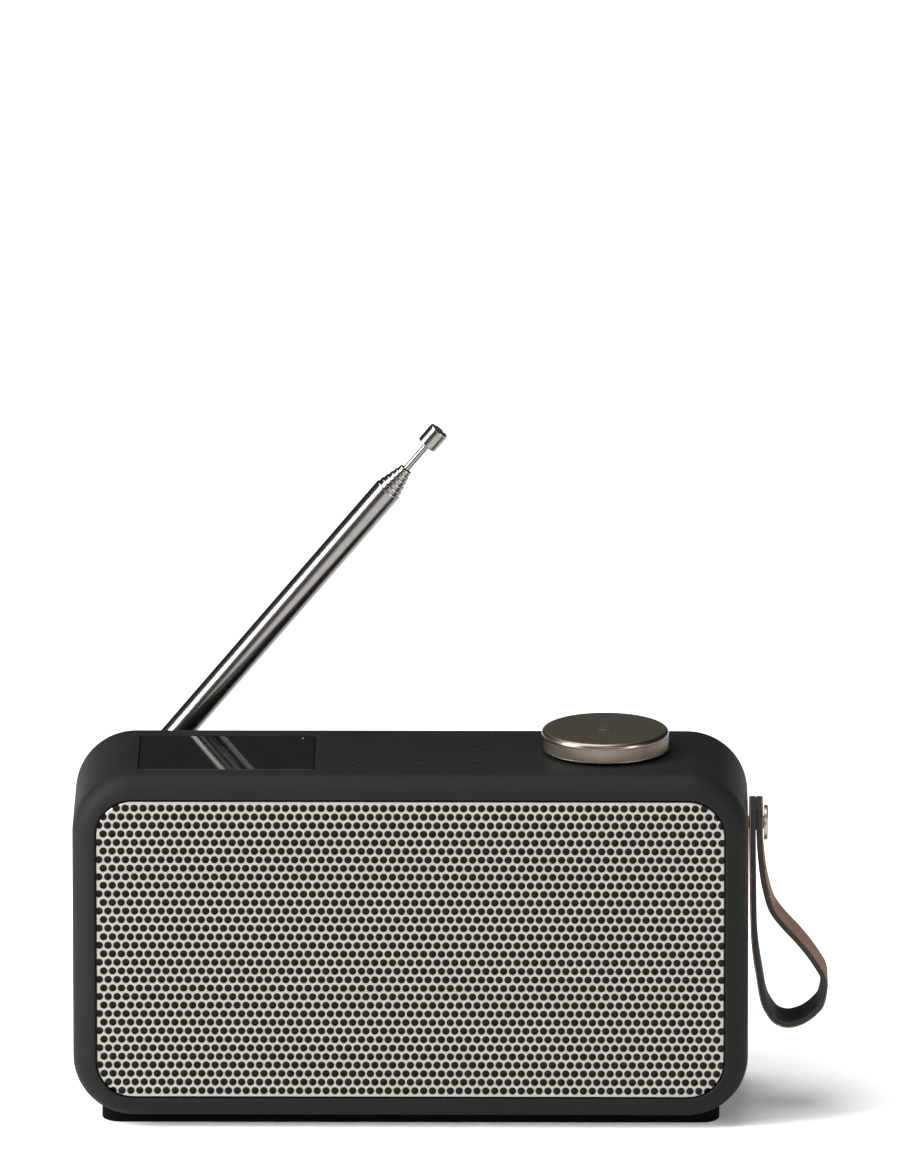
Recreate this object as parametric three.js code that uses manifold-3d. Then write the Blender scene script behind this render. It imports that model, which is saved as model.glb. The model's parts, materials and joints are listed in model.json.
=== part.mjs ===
// Tabletop radio with a perforated grille, a turning knob, a side strap and a telescopic aerial.
// Millimetres. X runs to the right, Y to the back and Z up; the origin is the middle of the
// resting face of the foot, under the middle of the cabinet.
import * as THREE from "three";
import { mergeVertices } from "three/addons/utils/BufferGeometryUtils.js";
import Module from "manifold-3d";

const wasm = await Module();
wasm.setup();

// ---------------------------------------------------------------- driving dimensions

// Cabinet
const BODY_W = 215; // width
const BODY_D = 68.5; // depth
const BODY_H = 113; // height above the foot
const CORNER_R = 19.5; // corners seen from the front
const FRONT_EDGE_R = 8; // rounding round the front face
const BACK_EDGE_R = 12; // rounding round the back face
const WALL = 3; // moulded walls
const FRONT_WALL = 4; // frame round the grille
const CAVITY_FRONT_R = 1.5; // inner rounding behind that frame
const COVER_D = 7.75; // depth of the rear cover
const GAP = 0.3; // clearance between pieces that touch

// Foot
const FOOT_H = 3.2;
const FOOT_INSET = 9; // from the cabinet's sides and front
const FOOT_R = 6;

// Grille, its cloth and the baffle behind it
const GRILLE_MARGIN = 7.35; // width of the frame round the grille
const GRILLE_R = 12;
const GRILLE_SLOT = 0.5; // shadow gap round the grille
const GRILLE_SET_BACK = 0.3;
const GRILLE_T = 0.8;
const CLOTH_T = 0.5;
const BAFFLE_T = 3;
const BAFFLE_INSET = 1.8; // from the inside of the cabinet

// Loudspeakers
const DRIVER_R = 31; // flange
const DRIVER_LIP = 3.5; // flange width
const FLANGE_T = 1.5;
const BASKET_DEPTH = 14;
const BASKET_T = 1.2;
const MAGNET_R = 17;
const MAGNET_T = 12;
const COIL_R = 8; // middle of the voice coil
const COIL_T = 0.7;
const COIL_LENGTH = 10;
const COIL_SLOT = 0.45; // air on each side of the coil
const CONE_T = 0.6;
const SURROUND_W = 4.6;
const SURROUND_T = 0.6;
const CONE_TRAVEL = 1.5;

// Display
const LENS_W = 56.2; // pocket in the top
const LENS_D = 40.8;
const LENS_R = 1.5;
const LENS_T = 1.8;
const LENS_SINK = 0.1; // how far its face lies below the top
const LENS_EDGE = 20.8; // from the cabinet's left side
const LENS_LEDGE = 2.1; // shelf that carries the lens
const DECK_Y = -2.7; // middle of the display, front to back
const LIGHT_R = 0.55;
const LIGHT_IN = [4.1, 3.4]; // from the lens's right and back edges
const MODULE_MARGIN = 3.1; // display module inside the pocket's outline

// Keys
const KEY_R = 5.5;
const KEY_COLUMNS = 3;
const KEY_ROWS = 2;
const KEY_PITCH_X = 19.4;
const KEY_PITCH_Y = 16.5;
const KEY_FROM_LENS = 13.3; // from the lens's edge to the first column
const KEY_Y = -5.6; // middle of the two rows
const KEY_FLANGE_T = 1;
const KEY_FLANGE_W = 1.1;
const KEY_STEM_R = 2;
const KEY_TRAVEL = 0.6;
const DOME_SHEET_T = 0.9;

// Knob and its encoder
const KNOB_R = 20.34;
const KNOB_H = 6.45;
const KNOB_LIFT = 0.8; // air under the knob
const KNOB_WALL = 1.6;
const KNOB_EDGE_R = 1.5;
const KNOB_EDGE = 25.3; // from the cabinet's right side
const KNOB_Y = 0.5;
const KNOB_TRAVEL = 0.6;
const HUB_T = 2;
const HUB_ROOF = 0.4; // material over the shaft's end
const SHAFT_R = 3;
const BUSHING_R = 4.5;
const ENCODER_W = 13;
const PLUNGER_R = 2.6;
const PLUNGER_H = 1.9;
const NUT_R = 7;
const NUT_T = 2;

// Circuit boards and what they carry
const BOARD_T = 1.6;
const TOP_BOARD_DROP = 9.3; // height of the parts between the top board and the top wall
const TOP_BOARD_D = 42;
const TOP_BOARD_OVERHANG = 8.3; // past the lens on the left
const TOP_BOARD_RIGHT = 20; // past the knob's centre
const MAIN_BOARD_W = 100;
const MAIN_BOARD_H = 46;
const MAIN_BOARD_DROP = 8; // gap to the rear cover
const MAIN_BOARD_UP = 10; // from the battery's top to the board
const POST_R = 2.6;
const TUNER = [34, 3.8, 22];
const BATTERY = [66, 20, 37];
const CRADLE_T = 2;
const CRADLE_H = 16;

// Sockets in the rear cover
const USB = [9.2, 3.4];
const USB_R = 1.5;
const USB_X = 34;
const JACK_R = 3.2;
const JACK_X = 18;
const JACK_BORE_R = 1.8;
const JACK_BORE_DEPTH = 6;
const USB_MOUTH_DEPTH = 4.5;
const SOCKET_UP = 12; // above the lower edge of the main board

// Screws of the rear cover
const SCREW_R = 1.5;
const SCREW_HEAD_R = 3.1;
const SCREW_HEAD_T = 1.5;
const SCREW_LENGTH = 15;
const SCREW_X_IN = 14.5; // from the cabinet's sides
const SCREW_Z = 30; // above and below the middle
const SCREW_POST_R = 4;
const SCREW_HOLE_SPARE = 2; // depth of the hole past the screw's end

// Strap
const STRAP_T = 2.1;
const STRAP_W = 16;
const STUD_DROP = 23.6; // from the cabinet's top
const STUD_HEAD_R = 5.6;
const STUD_HEAD_T = 1.4;
const STUD_R = 2;
const INSERT_R = 4;
const INSERT_LENGTH = 4.5;
// Middle line of the strap, as the distance out from the cabinet's side and down from its top,
// from the end of the inner leg, round the hanging loop, to the end of the outer leg.
const STRAP_LINE = [
  [1.4, 17.1], [1.4, 26], [1.6, 42], [1.9, 56.7], [2.5, 64.7], [3.7, 72.6], [5.1, 80.6],
  [6.9, 84.6], [9.2, 87.4], [12.7, 88.6], [16.3, 87.9], [19, 86.5], [21.7, 84.2], [23.6, 81.5],
  [24.6, 75.8], [24.1, 72.4], [21.7, 68.3], [18.9, 64.3], [15.6, 60.3], [12, 56.4], [8.8, 52.4],
  [6.9, 48.5], [5.1, 41], [4.15, 33.5], [3.7, 27], [3.7, 22], [3.7, 17.1],
];

// Aerial
const AERIAL_TUBES = 6;
const AERIAL_OD = 9.1; // outermost tube
const AERIAL_STEP = 0.92; // each tube is this much smaller across than the one round it
const AERIAL_WALL = 0.3;
const AERIAL_OFF_BACK = 5.55; // from the cabinet's back to the aerial's axis
const AERIAL_EDGE = 21.3; // pivot, from the cabinet's left side
const AERIAL_DROP = 18.2; // pivot, from the cabinet's top
const AERIAL_ANGLE = 50; // degrees above +X
const AERIAL_PIN_X = 8; // tilt pin, from the swivel's axis
const AERIAL_START = 13.5; // lower end of the outer tube
const AERIAL_END = 122.6; // upper end of the outer tube
const AERIAL_STAND_OUT = 1.72; // how far each tube stands out of the one round it
const AERIAL_FOOT_STEP = 1.2; // how much further up each inner tube starts
const ROD_R = 1.1;
const ROD_SHOWN = 9.9;
const TIP_R = 3.35;
const TIP_H = 6.9;
const SWIVEL_R = 5.2;
const SWIVEL_T = 1.2;
const BASE_R = 5.6;
const BASE_T = 1.2;
const STUB_R = 3.2;
const AERIAL_NUT_R = 5;
const AERIAL_NUT_T = 1.8;
const AERIAL_SCREW_R = 1.4;
const AERIAL_SCREW_HEAD_R = 2.7;
const AERIAL_SCREW_HEAD_T = 1.5;
const LUG_T = 3.4; // between the ears
const LUG_R = 3;
const EAR_T = 1.5;
const EAR_R = 3.4;
const PIN_R = 1.1;
const PLUG_LENGTH = 5;

// How finely round shapes are cut
const CORNER_STEPS = 5; // in a quarter turn of the cabinet's outline
const ARC_HALF_STEPS = 3; // in an eighth of a turn of the other round corners
const EDGE_STEPS = 4; // in a quarter turn of its edges
const SIDES = 22;
const SMALL_SIDES = 12;
const KNOB_SIDES = 40;
const AERIAL_SIDES = 16;
const HEX = 6;
const STRAP_STEPS = 44; // along its line
const DOME_STEPS = 3;
const ROLL_STEPS = 4;
const THROUGH = 1; // how far a cutter runs past what it cuts

// ---------------------------------------------------------------- places worked out from them

const side = BODY_W / 2;
const front = -BODY_D / 2;
const back = BODY_D / 2;
const bottom = FOOT_H;
const top = FOOT_H + BODY_H;
const midZ = (bottom + top) / 2;
const innerTop = top - WALL;
const innerBack = back - WALL;
const innerFloor = bottom + WALL;
const partingY = back - COVER_D;

const grilleHoleW = BODY_W - 2 * GRILLE_MARGIN;
const grilleHoleH = BODY_H - 2 * GRILLE_MARGIN;
const grilleFace = front + GRILLE_SET_BACK;
const baffleFront = front + FRONT_WALL + GAP;
const baffleBack = baffleFront + BAFFLE_T;

const speakerX = grilleHoleW / 4;
const holeR = DRIVER_R - DRIVER_LIP;
const flangeFront = baffleBack + GAP;
const coneR = holeR - SURROUND_W - 2 * GAP;
const basketBack = flangeFront + BASKET_DEPTH;
const magnetFront = basketBack + GAP;

const lensX = -side + LENS_EDGE + LENS_W / 2;
const lensBottom = top - LENS_T - LENS_SINK;
const pocketBottom = lensBottom - GAP;
const lightX = lensX + LENS_W / 2 - LIGHT_IN[0];
const lightY = DECK_Y + LENS_D / 2 - LIGHT_IN[1];

const knobX = side - KNOB_EDGE - KNOB_R;
const knobBottom = top + KNOB_LIFT;
const knobTop = knobBottom + KNOB_H;
const hubTop = knobTop - KNOB_WALL - GAP;
const hubBottom = hubTop - HUB_T;
const nutTop = top + GAP + NUT_T;

const boardTop = innerTop - TOP_BOARD_DROP;
const boardLeft = lensX - LENS_W / 2 - TOP_BOARD_OVERHANG;
const boardRight = knobX + TOP_BOARD_RIGHT;
const domeTop = boardTop + GAP + DOME_SHEET_T;
const keyStemBottom = domeTop + KEY_TRAVEL + GAP / 2;
const firstKeyX = lensX + LENS_W / 2 + KEY_FROM_LENS;

const batteryBottom = innerFloor + GAP;
const batteryBack = innerBack - MAIN_BOARD_DROP - BOARD_T - TUNER[1] - 2 * GAP;
const mainBoardBack = innerBack - MAIN_BOARD_DROP;
const mainBoardFront = mainBoardBack - BOARD_T;
const mainBoardBottom = batteryBottom + BATTERY[2] + MAIN_BOARD_UP - BOARD_T;
const socketZ = mainBoardBottom + SOCKET_UP;

const screwX = side - SCREW_X_IN;
const screwSeat = back - SCREW_HEAD_T - GAP;
const studZ = top - STUD_DROP;
const aerialY = back + AERIAL_OFF_BACK;
const aerialPivot = [-side + AERIAL_EDGE, aerialY, top - AERIAL_DROP];

// ---------------------------------------------------------------- shape helpers

/** A closed three.js geometry as a solid that can be joined and cut. */
function solid(geometry) {
  const bare = new THREE.BufferGeometry();
  bare.setAttribute("position", geometry.getAttribute("position"));
  bare.setIndex(geometry.index);
  const merged = mergeVertices(bare, 1e-4);
  const index = merged.index.array;
  const kept = [];
  for (let i = 0; i < index.length; i += 3) {
    const [a, b, c] = [index[i], index[i + 1], index[i + 2]];
    if (a !== b && b !== c && c !== a) kept.push(a, b, c);
  }
  const mesh = new wasm.Mesh({
    numProp: 3,
    vertProperties: merged.getAttribute("position").array,
    triVerts: new Uint32Array(kept),
  });
  return new wasm.Manifold(mesh);
}

/** A solid back as a three.js geometry. */
function geometryOf(body) {
  const mesh = body.getMesh();
  const geometry = new THREE.BufferGeometry();
  geometry.setAttribute("position", new THREE.BufferAttribute(mesh.vertProperties, 3));
  geometry.setIndex(new THREE.BufferAttribute(mesh.triVerts, 1));
  geometry.computeVertexNormals();
  return geometry;
}

/** The first solid with all the others joined to it. */
const joined = (...parts) => parts.reduce((a, b) => a.add(b));

/** The first solid with all the others cut out of it. */
const cut = (body, ...cutters) => cutters.reduce((a, b) => a.subtract(b), body);

const AXES = {
  x: [new THREE.Vector3(0, 1, 0), new THREE.Vector3(0, 0, 1), new THREE.Vector3(1, 0, 0)],
  y: [new THREE.Vector3(1, 0, 0), new THREE.Vector3(0, 0, 1), new THREE.Vector3(0, -1, 0)],
  z: [new THREE.Vector3(1, 0, 0), new THREE.Vector3(0, 1, 0), new THREE.Vector3(0, 0, 1)],
};

/** A flat outline carried along an axis. It is drawn in YZ for x, XZ for y and XY for z. */
function prism(shape, axis, from, to) {
  const options = { depth: to - from, bevelEnabled: false, curveSegments: ARC_HALF_STEPS };
  const geometry = new THREE.ExtrudeGeometry(shape, options);
  geometry.translate(0, 0, axis === "y" ? -to : from);
  geometry.applyMatrix4(new THREE.Matrix4().makeBasis(...AXES[axis]));
  return solid(geometry);
}

/** A box between two corners. */
function block(low, high) {
  const size = high.map((v, i) => v - low[i]);
  const geometry = new THREE.BoxGeometry(...size);
  geometry.translate(...low.map((v, i) => v + size[i] / 2));
  return solid(geometry);
}

/** A rectangle with round corners, about (x, y). */
function roundedRect(width, height, radius, x = 0, y = 0) {
  const [w, h] = [width / 2 - radius, height / 2 - radius];
  const shape = new THREE.Shape();
  shape.absarc(x + w, y + h, radius, 0, Math.PI / 2);
  shape.absarc(x - w, y + h, radius, Math.PI / 2, Math.PI);
  shape.absarc(x - w, y - h, radius, Math.PI, 1.5 * Math.PI);
  shape.absarc(x + w, y - h, radius, 1.5 * Math.PI, 2 * Math.PI);
  return shape;
}

/** A many-sided disc about (x, y). */
function disc(radius, x = 0, y = 0, sides = SIDES) {
  const points = [];
  for (let i = 0; i < sides; i++) {
    const a = (2 * Math.PI * (i + 0.5)) / sides;
    points.push(new THREE.Vector2(x + radius * Math.cos(a), y + radius * Math.sin(a)));
  }
  return new THREE.Shape(points);
}

/** A profile of [radius, height] points turned about the Y axis. */
function turned(profile, sides = SIDES) {
  const points = profile.map(([r, h]) => new THREE.Vector2(r, h));
  return solid(new THREE.LatheGeometry(points, sides));
}

/** The same, about the Z axis. */
const turnedUp = (profile, sides = SIDES) => turned(profile, sides).rotate([90, 0, 0]);

/** A closed profile, so that what is turned is a ring. */
const closed = (profile) => [...profile, profile[0]];

/**
 * The cabinet's form: an outline with round corners in XZ, carried from front to back with its
 * front and back edges rounded. Each ring is the outline moved in by what the edge leaves.
 */
function pillow({ halfW, halfH, y0, y1, corner, frontR, backR }) {
  const rings = [];
  for (let i = 0; i <= EDGE_STEPS; i++) {
    const t = (i / EDGE_STEPS) * (Math.PI / 2);
    rings.push([y0 + frontR * (1 - Math.cos(t)), frontR * (1 - Math.sin(t))]);
  }
  for (let i = EDGE_STEPS; i >= 0; i--) {
    const t = (i / EDGE_STEPS) * (Math.PI / 2);
    rings.push([y1 - backR * (1 - Math.cos(t)), backR * (1 - Math.sin(t))]);
  }
  const centres = [[1, 1], [-1, 1], [-1, -1], [1, -1]];
  const vertices = [];
  for (const [y, inset] of rings) {
    const r = corner - inset;
    centres.forEach(([sx, sz], quarter) => {
      for (let k = 0; k <= CORNER_STEPS; k++) {
        const a = (quarter + k / CORNER_STEPS) * (Math.PI / 2);
        const x = sx * (halfW - corner) + r * Math.cos(a);
        const z = midZ + sz * (halfH - corner) + r * Math.sin(a);
        vertices.push(x, y, z);
      }
    });
  }
  const n = centres.length * (CORNER_STEPS + 1);
  const [frontMiddle, backMiddle] = [rings.length * n, rings.length * n + 1];
  vertices.push(0, y0, midZ, 0, y1, midZ);
  const faces = [];
  const last = (rings.length - 1) * n;
  for (let k = 0; k < n; k++) {
    const next = (k + 1) % n;
    faces.push(frontMiddle, k, next, backMiddle, last + next, last + k);
    for (let i = 0; i < last; i += n) {
      faces.push(i + k, i + n + k, i + next, i + next, i + n + k, i + n + next);
    }
  }
  const geometry = new THREE.BufferGeometry();
  geometry.setAttribute("position", new THREE.Float32BufferAttribute(vertices, 3));
  geometry.setIndex(faces);
  return solid(geometry);
}

// ---------------------------------------------------------------- the scene graph

const radio = new THREE.Group();

/** A group placed inside another. */
function assembly(parent, position = [0, 0, 0]) {
  const group = new THREE.Group();
  group.position.set(...position);
  parent.add(group);
  return group;
}

/** A named piece with its own material, added to its assembly. */
function piece(parent, name, body, { color, roughness, metalness = 0 }) {
  const material = new THREE.MeshStandardMaterial({ color, roughness, metalness });
  const mesh = new THREE.Mesh(geometryOf(body), material);
  mesh.name = name;
  parent.add(mesh);
  return mesh;
}

const FINISH = {
  softTouch: { color: 0x323230, roughness: 0.62 },
  rubber: { color: 0x0c0c0c, roughness: 0.9 },
  grilleMetal: { color: 0xdad4cb, roughness: 0.35, metalness: 0.9 },
  cloth: { color: 0x322e28, roughness: 0.95 },
  board: { color: 0x1d5a3a, roughness: 0.5 },
  blackPlastic: { color: 0x1c1c1c, roughness: 0.55 },
  paper: { color: 0x2a2a2b, roughness: 0.85 },
  steel: { color: 0x9a9b9d, roughness: 0.35, metalness: 1 },
  ferrite: { color: 0x3a3a3c, roughness: 0.6, metalness: 0.3 },
  lens: { color: 0x101011, roughness: 0.06 },
  white: { color: 0xf2f2ee, roughness: 0.4 },
  bronze: { color: 0x827a71, roughness: 0.32, metalness: 0.9 },
  leather: { color: 0x785c4e, roughness: 0.7 },
  chrome: { color: 0xc8c8c8, roughness: 0.12, metalness: 1 },
  brass: { color: 0xb08d4a, roughness: 0.35, metalness: 1 },
  battery: { color: 0x2f4f7a, roughness: 0.5 },
  domes: { color: 0xc9c6bd, roughness: 0.45 },
};

// ---------------------------------------------------------------- cabinet, cover and foot

const outside = pillow({
  halfW: side,
  halfH: BODY_H / 2,
  y0: front,
  y1: back,
  corner: CORNER_R,
  frontR: FRONT_EDGE_R,
  backR: BACK_EDGE_R,
});

const cavity = pillow({
  halfW: side - WALL,
  halfH: BODY_H / 2 - WALL,
  y0: front + FRONT_WALL,
  y1: innerBack,
  corner: CORNER_R - WALL,
  frontR: CAVITY_FRONT_R,
  backR: BACK_EDGE_R - WALL,
});

/** A block far larger than the cabinet in X and Z, that ends at two planes across its depth. */
function across(from, to) {
  const reach = BODY_W + BODY_H;
  return block([-reach, from, -reach], [reach, to, reach]);
}

const keyPlaces = [];
for (let row = 0; row < KEY_ROWS; row++) {
  for (let column = 0; column < KEY_COLUMNS; column++) {
    const y = KEY_Y + (row - (KEY_ROWS - 1) / 2) * KEY_PITCH_Y;
    keyPlaces.push([firstKeyX + column * KEY_PITCH_X, y]);
  }
}

const screwPlaces = [-1, 1].flatMap((sx) => [-1, 1].map((sz) => [sx, midZ + sz * SCREW_Z]));

/** A screw post and the rib that joins it to the side wall. */
function screwPost([sx, z]) {
  const holeEnd = screwSeat - SCREW_LENGTH - SCREW_HOLE_SPARE;
  const from = holeEnd - SCREW_HOLE_SPARE;
  const to = partingY - GAP / 2;
  const reach = [sx * screwX, sx * (side - WALL / 2)];
  const post = prism(disc(SCREW_POST_R, sx * screwX, z), "y", from, to);
  const ribLow = [Math.min(...reach), from, z - WALL / 2];
  const ribHigh = [Math.max(...reach), to, z + WALL / 2];
  const rib = block(ribLow, ribHigh);
  const holeShape = disc(SCREW_R + GAP, sx * screwX, z, SMALL_SIDES);
  const hole = prism(holeShape, "y", holeEnd, to + THROUGH);
  return cut(joined(post, rib), hole);
}

/** Posts under the top wall that carry the top board. */
function boardPosts() {
  const inset = POST_R + 2;
  const corners = [boardLeft + inset, boardRight - inset].flatMap((x) =>
    [-1, 1].map((s) => [x, DECK_Y + s * (TOP_BOARD_D / 2 - inset)]),
  );
  return corners.map(([x, y]) =>
    prism(disc(POST_R, x, y, SMALL_SIDES), "z", boardTop + GAP, innerTop + WALL / 2),
  );
}

/** The two upright walls that hold the battery from the sides. */
function batteryCradle() {
  return [-1, 1].map((s) => {
    const near = BATTERY[0] / 2 + GAP;
    const xs = [s * near, s * (near + CRADLE_T)];
    const low = [Math.min(...xs), batteryBack - BATTERY[1], innerFloor - WALL / 2];
    const high = [Math.max(...xs), batteryBack, innerFloor + CRADLE_H];
    return block(low, high);
  });
}

function cabinetShell() {
  const grilleHole = roundedRect(grilleHoleW, grilleHoleH, GRILLE_R, 0, midZ);
  const pocket = roundedRect(LENS_W, LENS_D, LENS_R, lensX, DECK_Y);
  const windowW = LENS_W - 2 * LENS_LEDGE;
  const windowD = LENS_D - 2 * LENS_LEDGE;
  const window = roundedRect(windowW, windowD, LENS_R, lensX, DECK_Y);
  const above = top + THROUGH;
  const below = innerTop - THROUGH;
  const shell = cut(
    outside,
    cavity,
    across(partingY - GAP / 2, back + THROUGH),
    prism(grilleHole, "y", front - THROUGH, front + FRONT_WALL + THROUGH),
    prism(pocket, "z", pocketBottom, above),
    prism(window, "z", below, above),
    prism(disc(BUSHING_R + GAP, knobX, KNOB_Y), "z", below, above),
    prism(disc(INSERT_R + GAP, 0, studZ), "x", side - WALL - THROUGH, side + THROUGH),
    ...keyPlaces.map(([x, y]) => prism(disc(KEY_R + GAP, x, y), "z", below, above)),
  );
  return joined(shell, ...screwPlaces.map(screwPost), ...boardPosts(), ...batteryCradle());
}

function rearCover() {
  const inset = POST_R + 2;
  const [halfW, midBoard] = [MAIN_BOARD_W / 2 - inset, mainBoardBottom + MAIN_BOARD_H / 2];
  const posts = [-1, 1].flatMap((sx) =>
    [-1, 1].map((sz) => {
      const z = midBoard + sz * (MAIN_BOARD_H / 2 - inset);
      const shape = disc(POST_R, sx * halfW, z, SMALL_SIDES);
      return prism(shape, "y", mainBoardBack + GAP, innerBack + WALL / 2);
    }),
  );
  const through = [innerBack - THROUGH, back + THROUGH];
  const holes = screwPlaces.flatMap(([sx, z]) => [
    prism(disc(SCREW_R + GAP, sx * screwX, z, SMALL_SIDES), "y", ...through),
    prism(disc(SCREW_HEAD_R + GAP, sx * screwX, z), "y", screwSeat - GAP, back + THROUGH),
  ]);
  const usbHole = roundedRect(USB[0] + 2 * GAP, USB[1] + 2 * GAP, USB_R + GAP, USB_X, socketZ);
  return cut(
    joined(cut(outside, cavity, across(front - THROUGH, partingY + GAP / 2)), ...posts),
    ...holes,
    prism(disc(STUB_R + GAP, aerialPivot[0], aerialPivot[2]), "y", ...through),
    prism(usbHole, "y", ...through),
    prism(disc(JACK_R + GAP, JACK_X, socketZ), "y", ...through),
  );
}

/** The foot fills the space under the cabinet, so its top follows the cabinet's underside. */
function footPad() {
  const width = BODY_W - 2 * FOOT_INSET;
  const depth = BODY_D - 2 * FOOT_INSET;
  const slab = prism(roundedRect(width, depth, FOOT_R), "z", 0, FOOT_H + CORNER_R / 2);
  const clearance = pillow({
    halfW: side + GAP,
    halfH: BODY_H / 2 + GAP,
    y0: front - GAP,
    y1: back + GAP,
    corner: CORNER_R + GAP,
    frontR: FRONT_EDGE_R + GAP,
    backR: BACK_EDGE_R + GAP,
  });
  return cut(slab, clearance);
}

piece(radio, "cabinet_shell", cabinetShell(), FINISH.softTouch);
piece(radio, "rear_cover", rearCover(), FINISH.softTouch);
piece(radio, "foot_pad", footPad(), FINISH.rubber);

// ---------------------------------------------------------------- grille, cloth and baffle

/** A slab that fills the grille's opening, drawn in by the inset on every side. */
function frontSlab(inset, from, to) {
  const shape = roundedRect(
    grilleHoleW - 2 * inset,
    grilleHoleH - 2 * inset,
    GRILLE_R - inset,
    0,
    midZ,
  );
  return prism(shape, "y", from, to);
}

/** The grille is a sheet with its rim folded back to the baffle. */
function grille() {
  const rimEnd = baffleFront - GAP;
  const pan = frontSlab(GRILLE_SLOT, grilleFace, rimEnd);
  return cut(pan, frontSlab(GRILLE_SLOT + GRILLE_T, grilleFace + GRILLE_T, rimEnd + THROUGH));
}

function acousticCloth() {
  const from = grilleFace + GRILLE_T + GAP;
  return frontSlab(GRILLE_SLOT + GRILLE_T + GAP, from, from + CLOTH_T);
}

function baffle() {
  const inset = WALL + BAFFLE_INSET;
  const corner = CORNER_R - inset;
  const shape = roundedRect(BODY_W - 2 * inset, BODY_H - 2 * inset, corner, 0, midZ);
  const holes = [-1, 1].map((s) =>
    prism(disc(holeR, s * speakerX, midZ), "y", baffleFront - THROUGH, baffleBack + THROUGH),
  );
  return cut(prism(shape, "y", baffleFront, baffleBack), ...holes);
}

piece(radio, "grille", grille(), FINISH.grilleMetal);
piece(radio, "acoustic_cloth", acousticCloth(), FINISH.cloth);
piece(radio, "baffle", baffle(), FINISH.blackPlastic);

// ---------------------------------------------------------------- loudspeakers

/** Flange, tapered frame and back ring, with four windows through the taper. */
function basket() {
  const neck = COIL_R + COIL_T / 2 + 2 * COIL_SLOT;
  const taperFrom = flangeFront + FLANGE_T;
  const outline = closed([
    [DRIVER_R, flangeFront],
    [DRIVER_R, taperFrom],
    [holeR + BASKET_T, taperFrom],
    [MAGNET_R, basketBack],
    [neck, basketBack],
    [neck, basketBack - BASKET_T],
    [MAGNET_R - BASKET_T, basketBack - BASKET_T],
    [holeR, taperFrom],
    [holeR, flangeFront],
  ]);
  const windowHalf = MAGNET_R / 2;
  const low = taperFrom + 2 * BASKET_T;
  const high = basketBack - 2 * BASKET_T;
  const windows = [
    block([-DRIVER_R, low, -windowHalf], [DRIVER_R, high, windowHalf]),
    block([-windowHalf, low, -DRIVER_R], [windowHalf, high, DRIVER_R]),
  ];
  return cut(turned(outline), ...windows);
}

/** Magnet and yoke with the ring-shaped slot that the coil moves in. */
function magnet() {
  const inner = COIL_R - COIL_T / 2 - COIL_SLOT;
  const outer = COIL_R + COIL_T / 2 + COIL_SLOT;
  const slotEnd = magnetFront + MAGNET_T / 2 + CONE_TRAVEL;
  return turned([
    [0, magnetFront],
    [inner, magnetFront],
    [inner, slotEnd],
    [outer, slotEnd],
    [outer, magnetFront],
    [MAGNET_R, magnetFront],
    [MAGNET_R, magnetFront + MAGNET_T],
    [0, magnetFront + MAGNET_T],
  ]);
}

const coilBack = magnetFront + MAGNET_T / 2 - CONE_TRAVEL;
const coilFront = coilBack - COIL_LENGTH;

/** The cone with the tube of its voice coil, in one piece. */
function cone() {
  const [coilIn, coilOut] = [COIL_R - COIL_T / 2, COIL_R + COIL_T / 2];
  return turned(
    closed([
      [coneR, flangeFront],
      [coneR, flangeFront + CONE_T],
      [coilOut, coilFront + 2 * CONE_T],
      [coilOut, coilBack],
      [coilIn, coilBack],
      [coilIn, coilFront],
      [coneR - CONE_T, flangeFront],
    ]),
  );
}

/** The half roll of rubber between cone and flange. */
function surround() {
  const [inner, outer] = [coneR + GAP, coneR + GAP + SURROUND_W];
  const [middle, roll] = [(inner + outer) / 2, (outer - inner) / 2];
  const arc = (radius, from, to) =>
    Array.from({ length: ROLL_STEPS + 1 }, (_, i) => {
      const a = from + ((to - from) * i) / ROLL_STEPS;
      return [middle + radius * Math.cos(a), flangeFront - radius * Math.sin(a)];
    });
  return turned(closed([...arc(roll - SURROUND_T, 0, Math.PI), ...arc(roll, Math.PI, 0)]));
}

/** A shallow dome that closes the middle of the cone. */
function dustCap() {
  const edge = COIL_R - COIL_T / 2 - GAP;
  const base = coilFront;
  const rise = edge / 3;
  const dome = [[0, base - rise]];
  for (let i = DOME_STEPS - 1; i >= 0; i--) {
    const a = (i / DOME_STEPS) * (Math.PI / 2);
    dome.push([edge * Math.cos(a), base - rise * Math.sin(a)]);
  }
  return turned([...dome, [edge, base + CONE_T], [0, base + CONE_T]]);
}

for (const [name, sign] of [["left", -1], ["right", 1]]) {
  const driver = assembly(radio, [sign * speakerX, 0, midZ]);
  piece(driver, `speaker_basket_${name}`, basket(), FINISH.steel);
  piece(driver, `speaker_magnet_${name}`, magnet(), FINISH.ferrite);
  piece(driver, `speaker_cone_${name}`, cone(), FINISH.paper);
  piece(driver, `speaker_surround_${name}`, surround(), FINISH.rubber);
  piece(driver, `speaker_dust_cap_${name}`, dustCap(), FINISH.paper);
}

// ---------------------------------------------------------------- display

const light = disc(LIGHT_R, lightX, lightY, SMALL_SIDES);
const lightHole = disc(LIGHT_R + GAP, lightX, lightY, SMALL_SIDES);
const lensShape = roundedRect(LENS_W - 2 * GAP, LENS_D - 2 * GAP, LENS_R - GAP, lensX, DECK_Y);
const lens = cut(
  prism(lensShape, "z", lensBottom, lensBottom + LENS_T),
  prism(lightHole, "z", lensBottom - THROUGH, top + THROUGH),
);
const moduleTop = innerTop - GAP;
const displayModule = block(
  [lensX - LENS_W / 2 + MODULE_MARGIN, DECK_Y - LENS_D / 2 + MODULE_MARGIN, boardTop + GAP],
  [lensX + LENS_W / 2 - MODULE_MARGIN, DECK_Y + LENS_D / 2 - MODULE_MARGIN, moduleTop],
);

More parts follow.
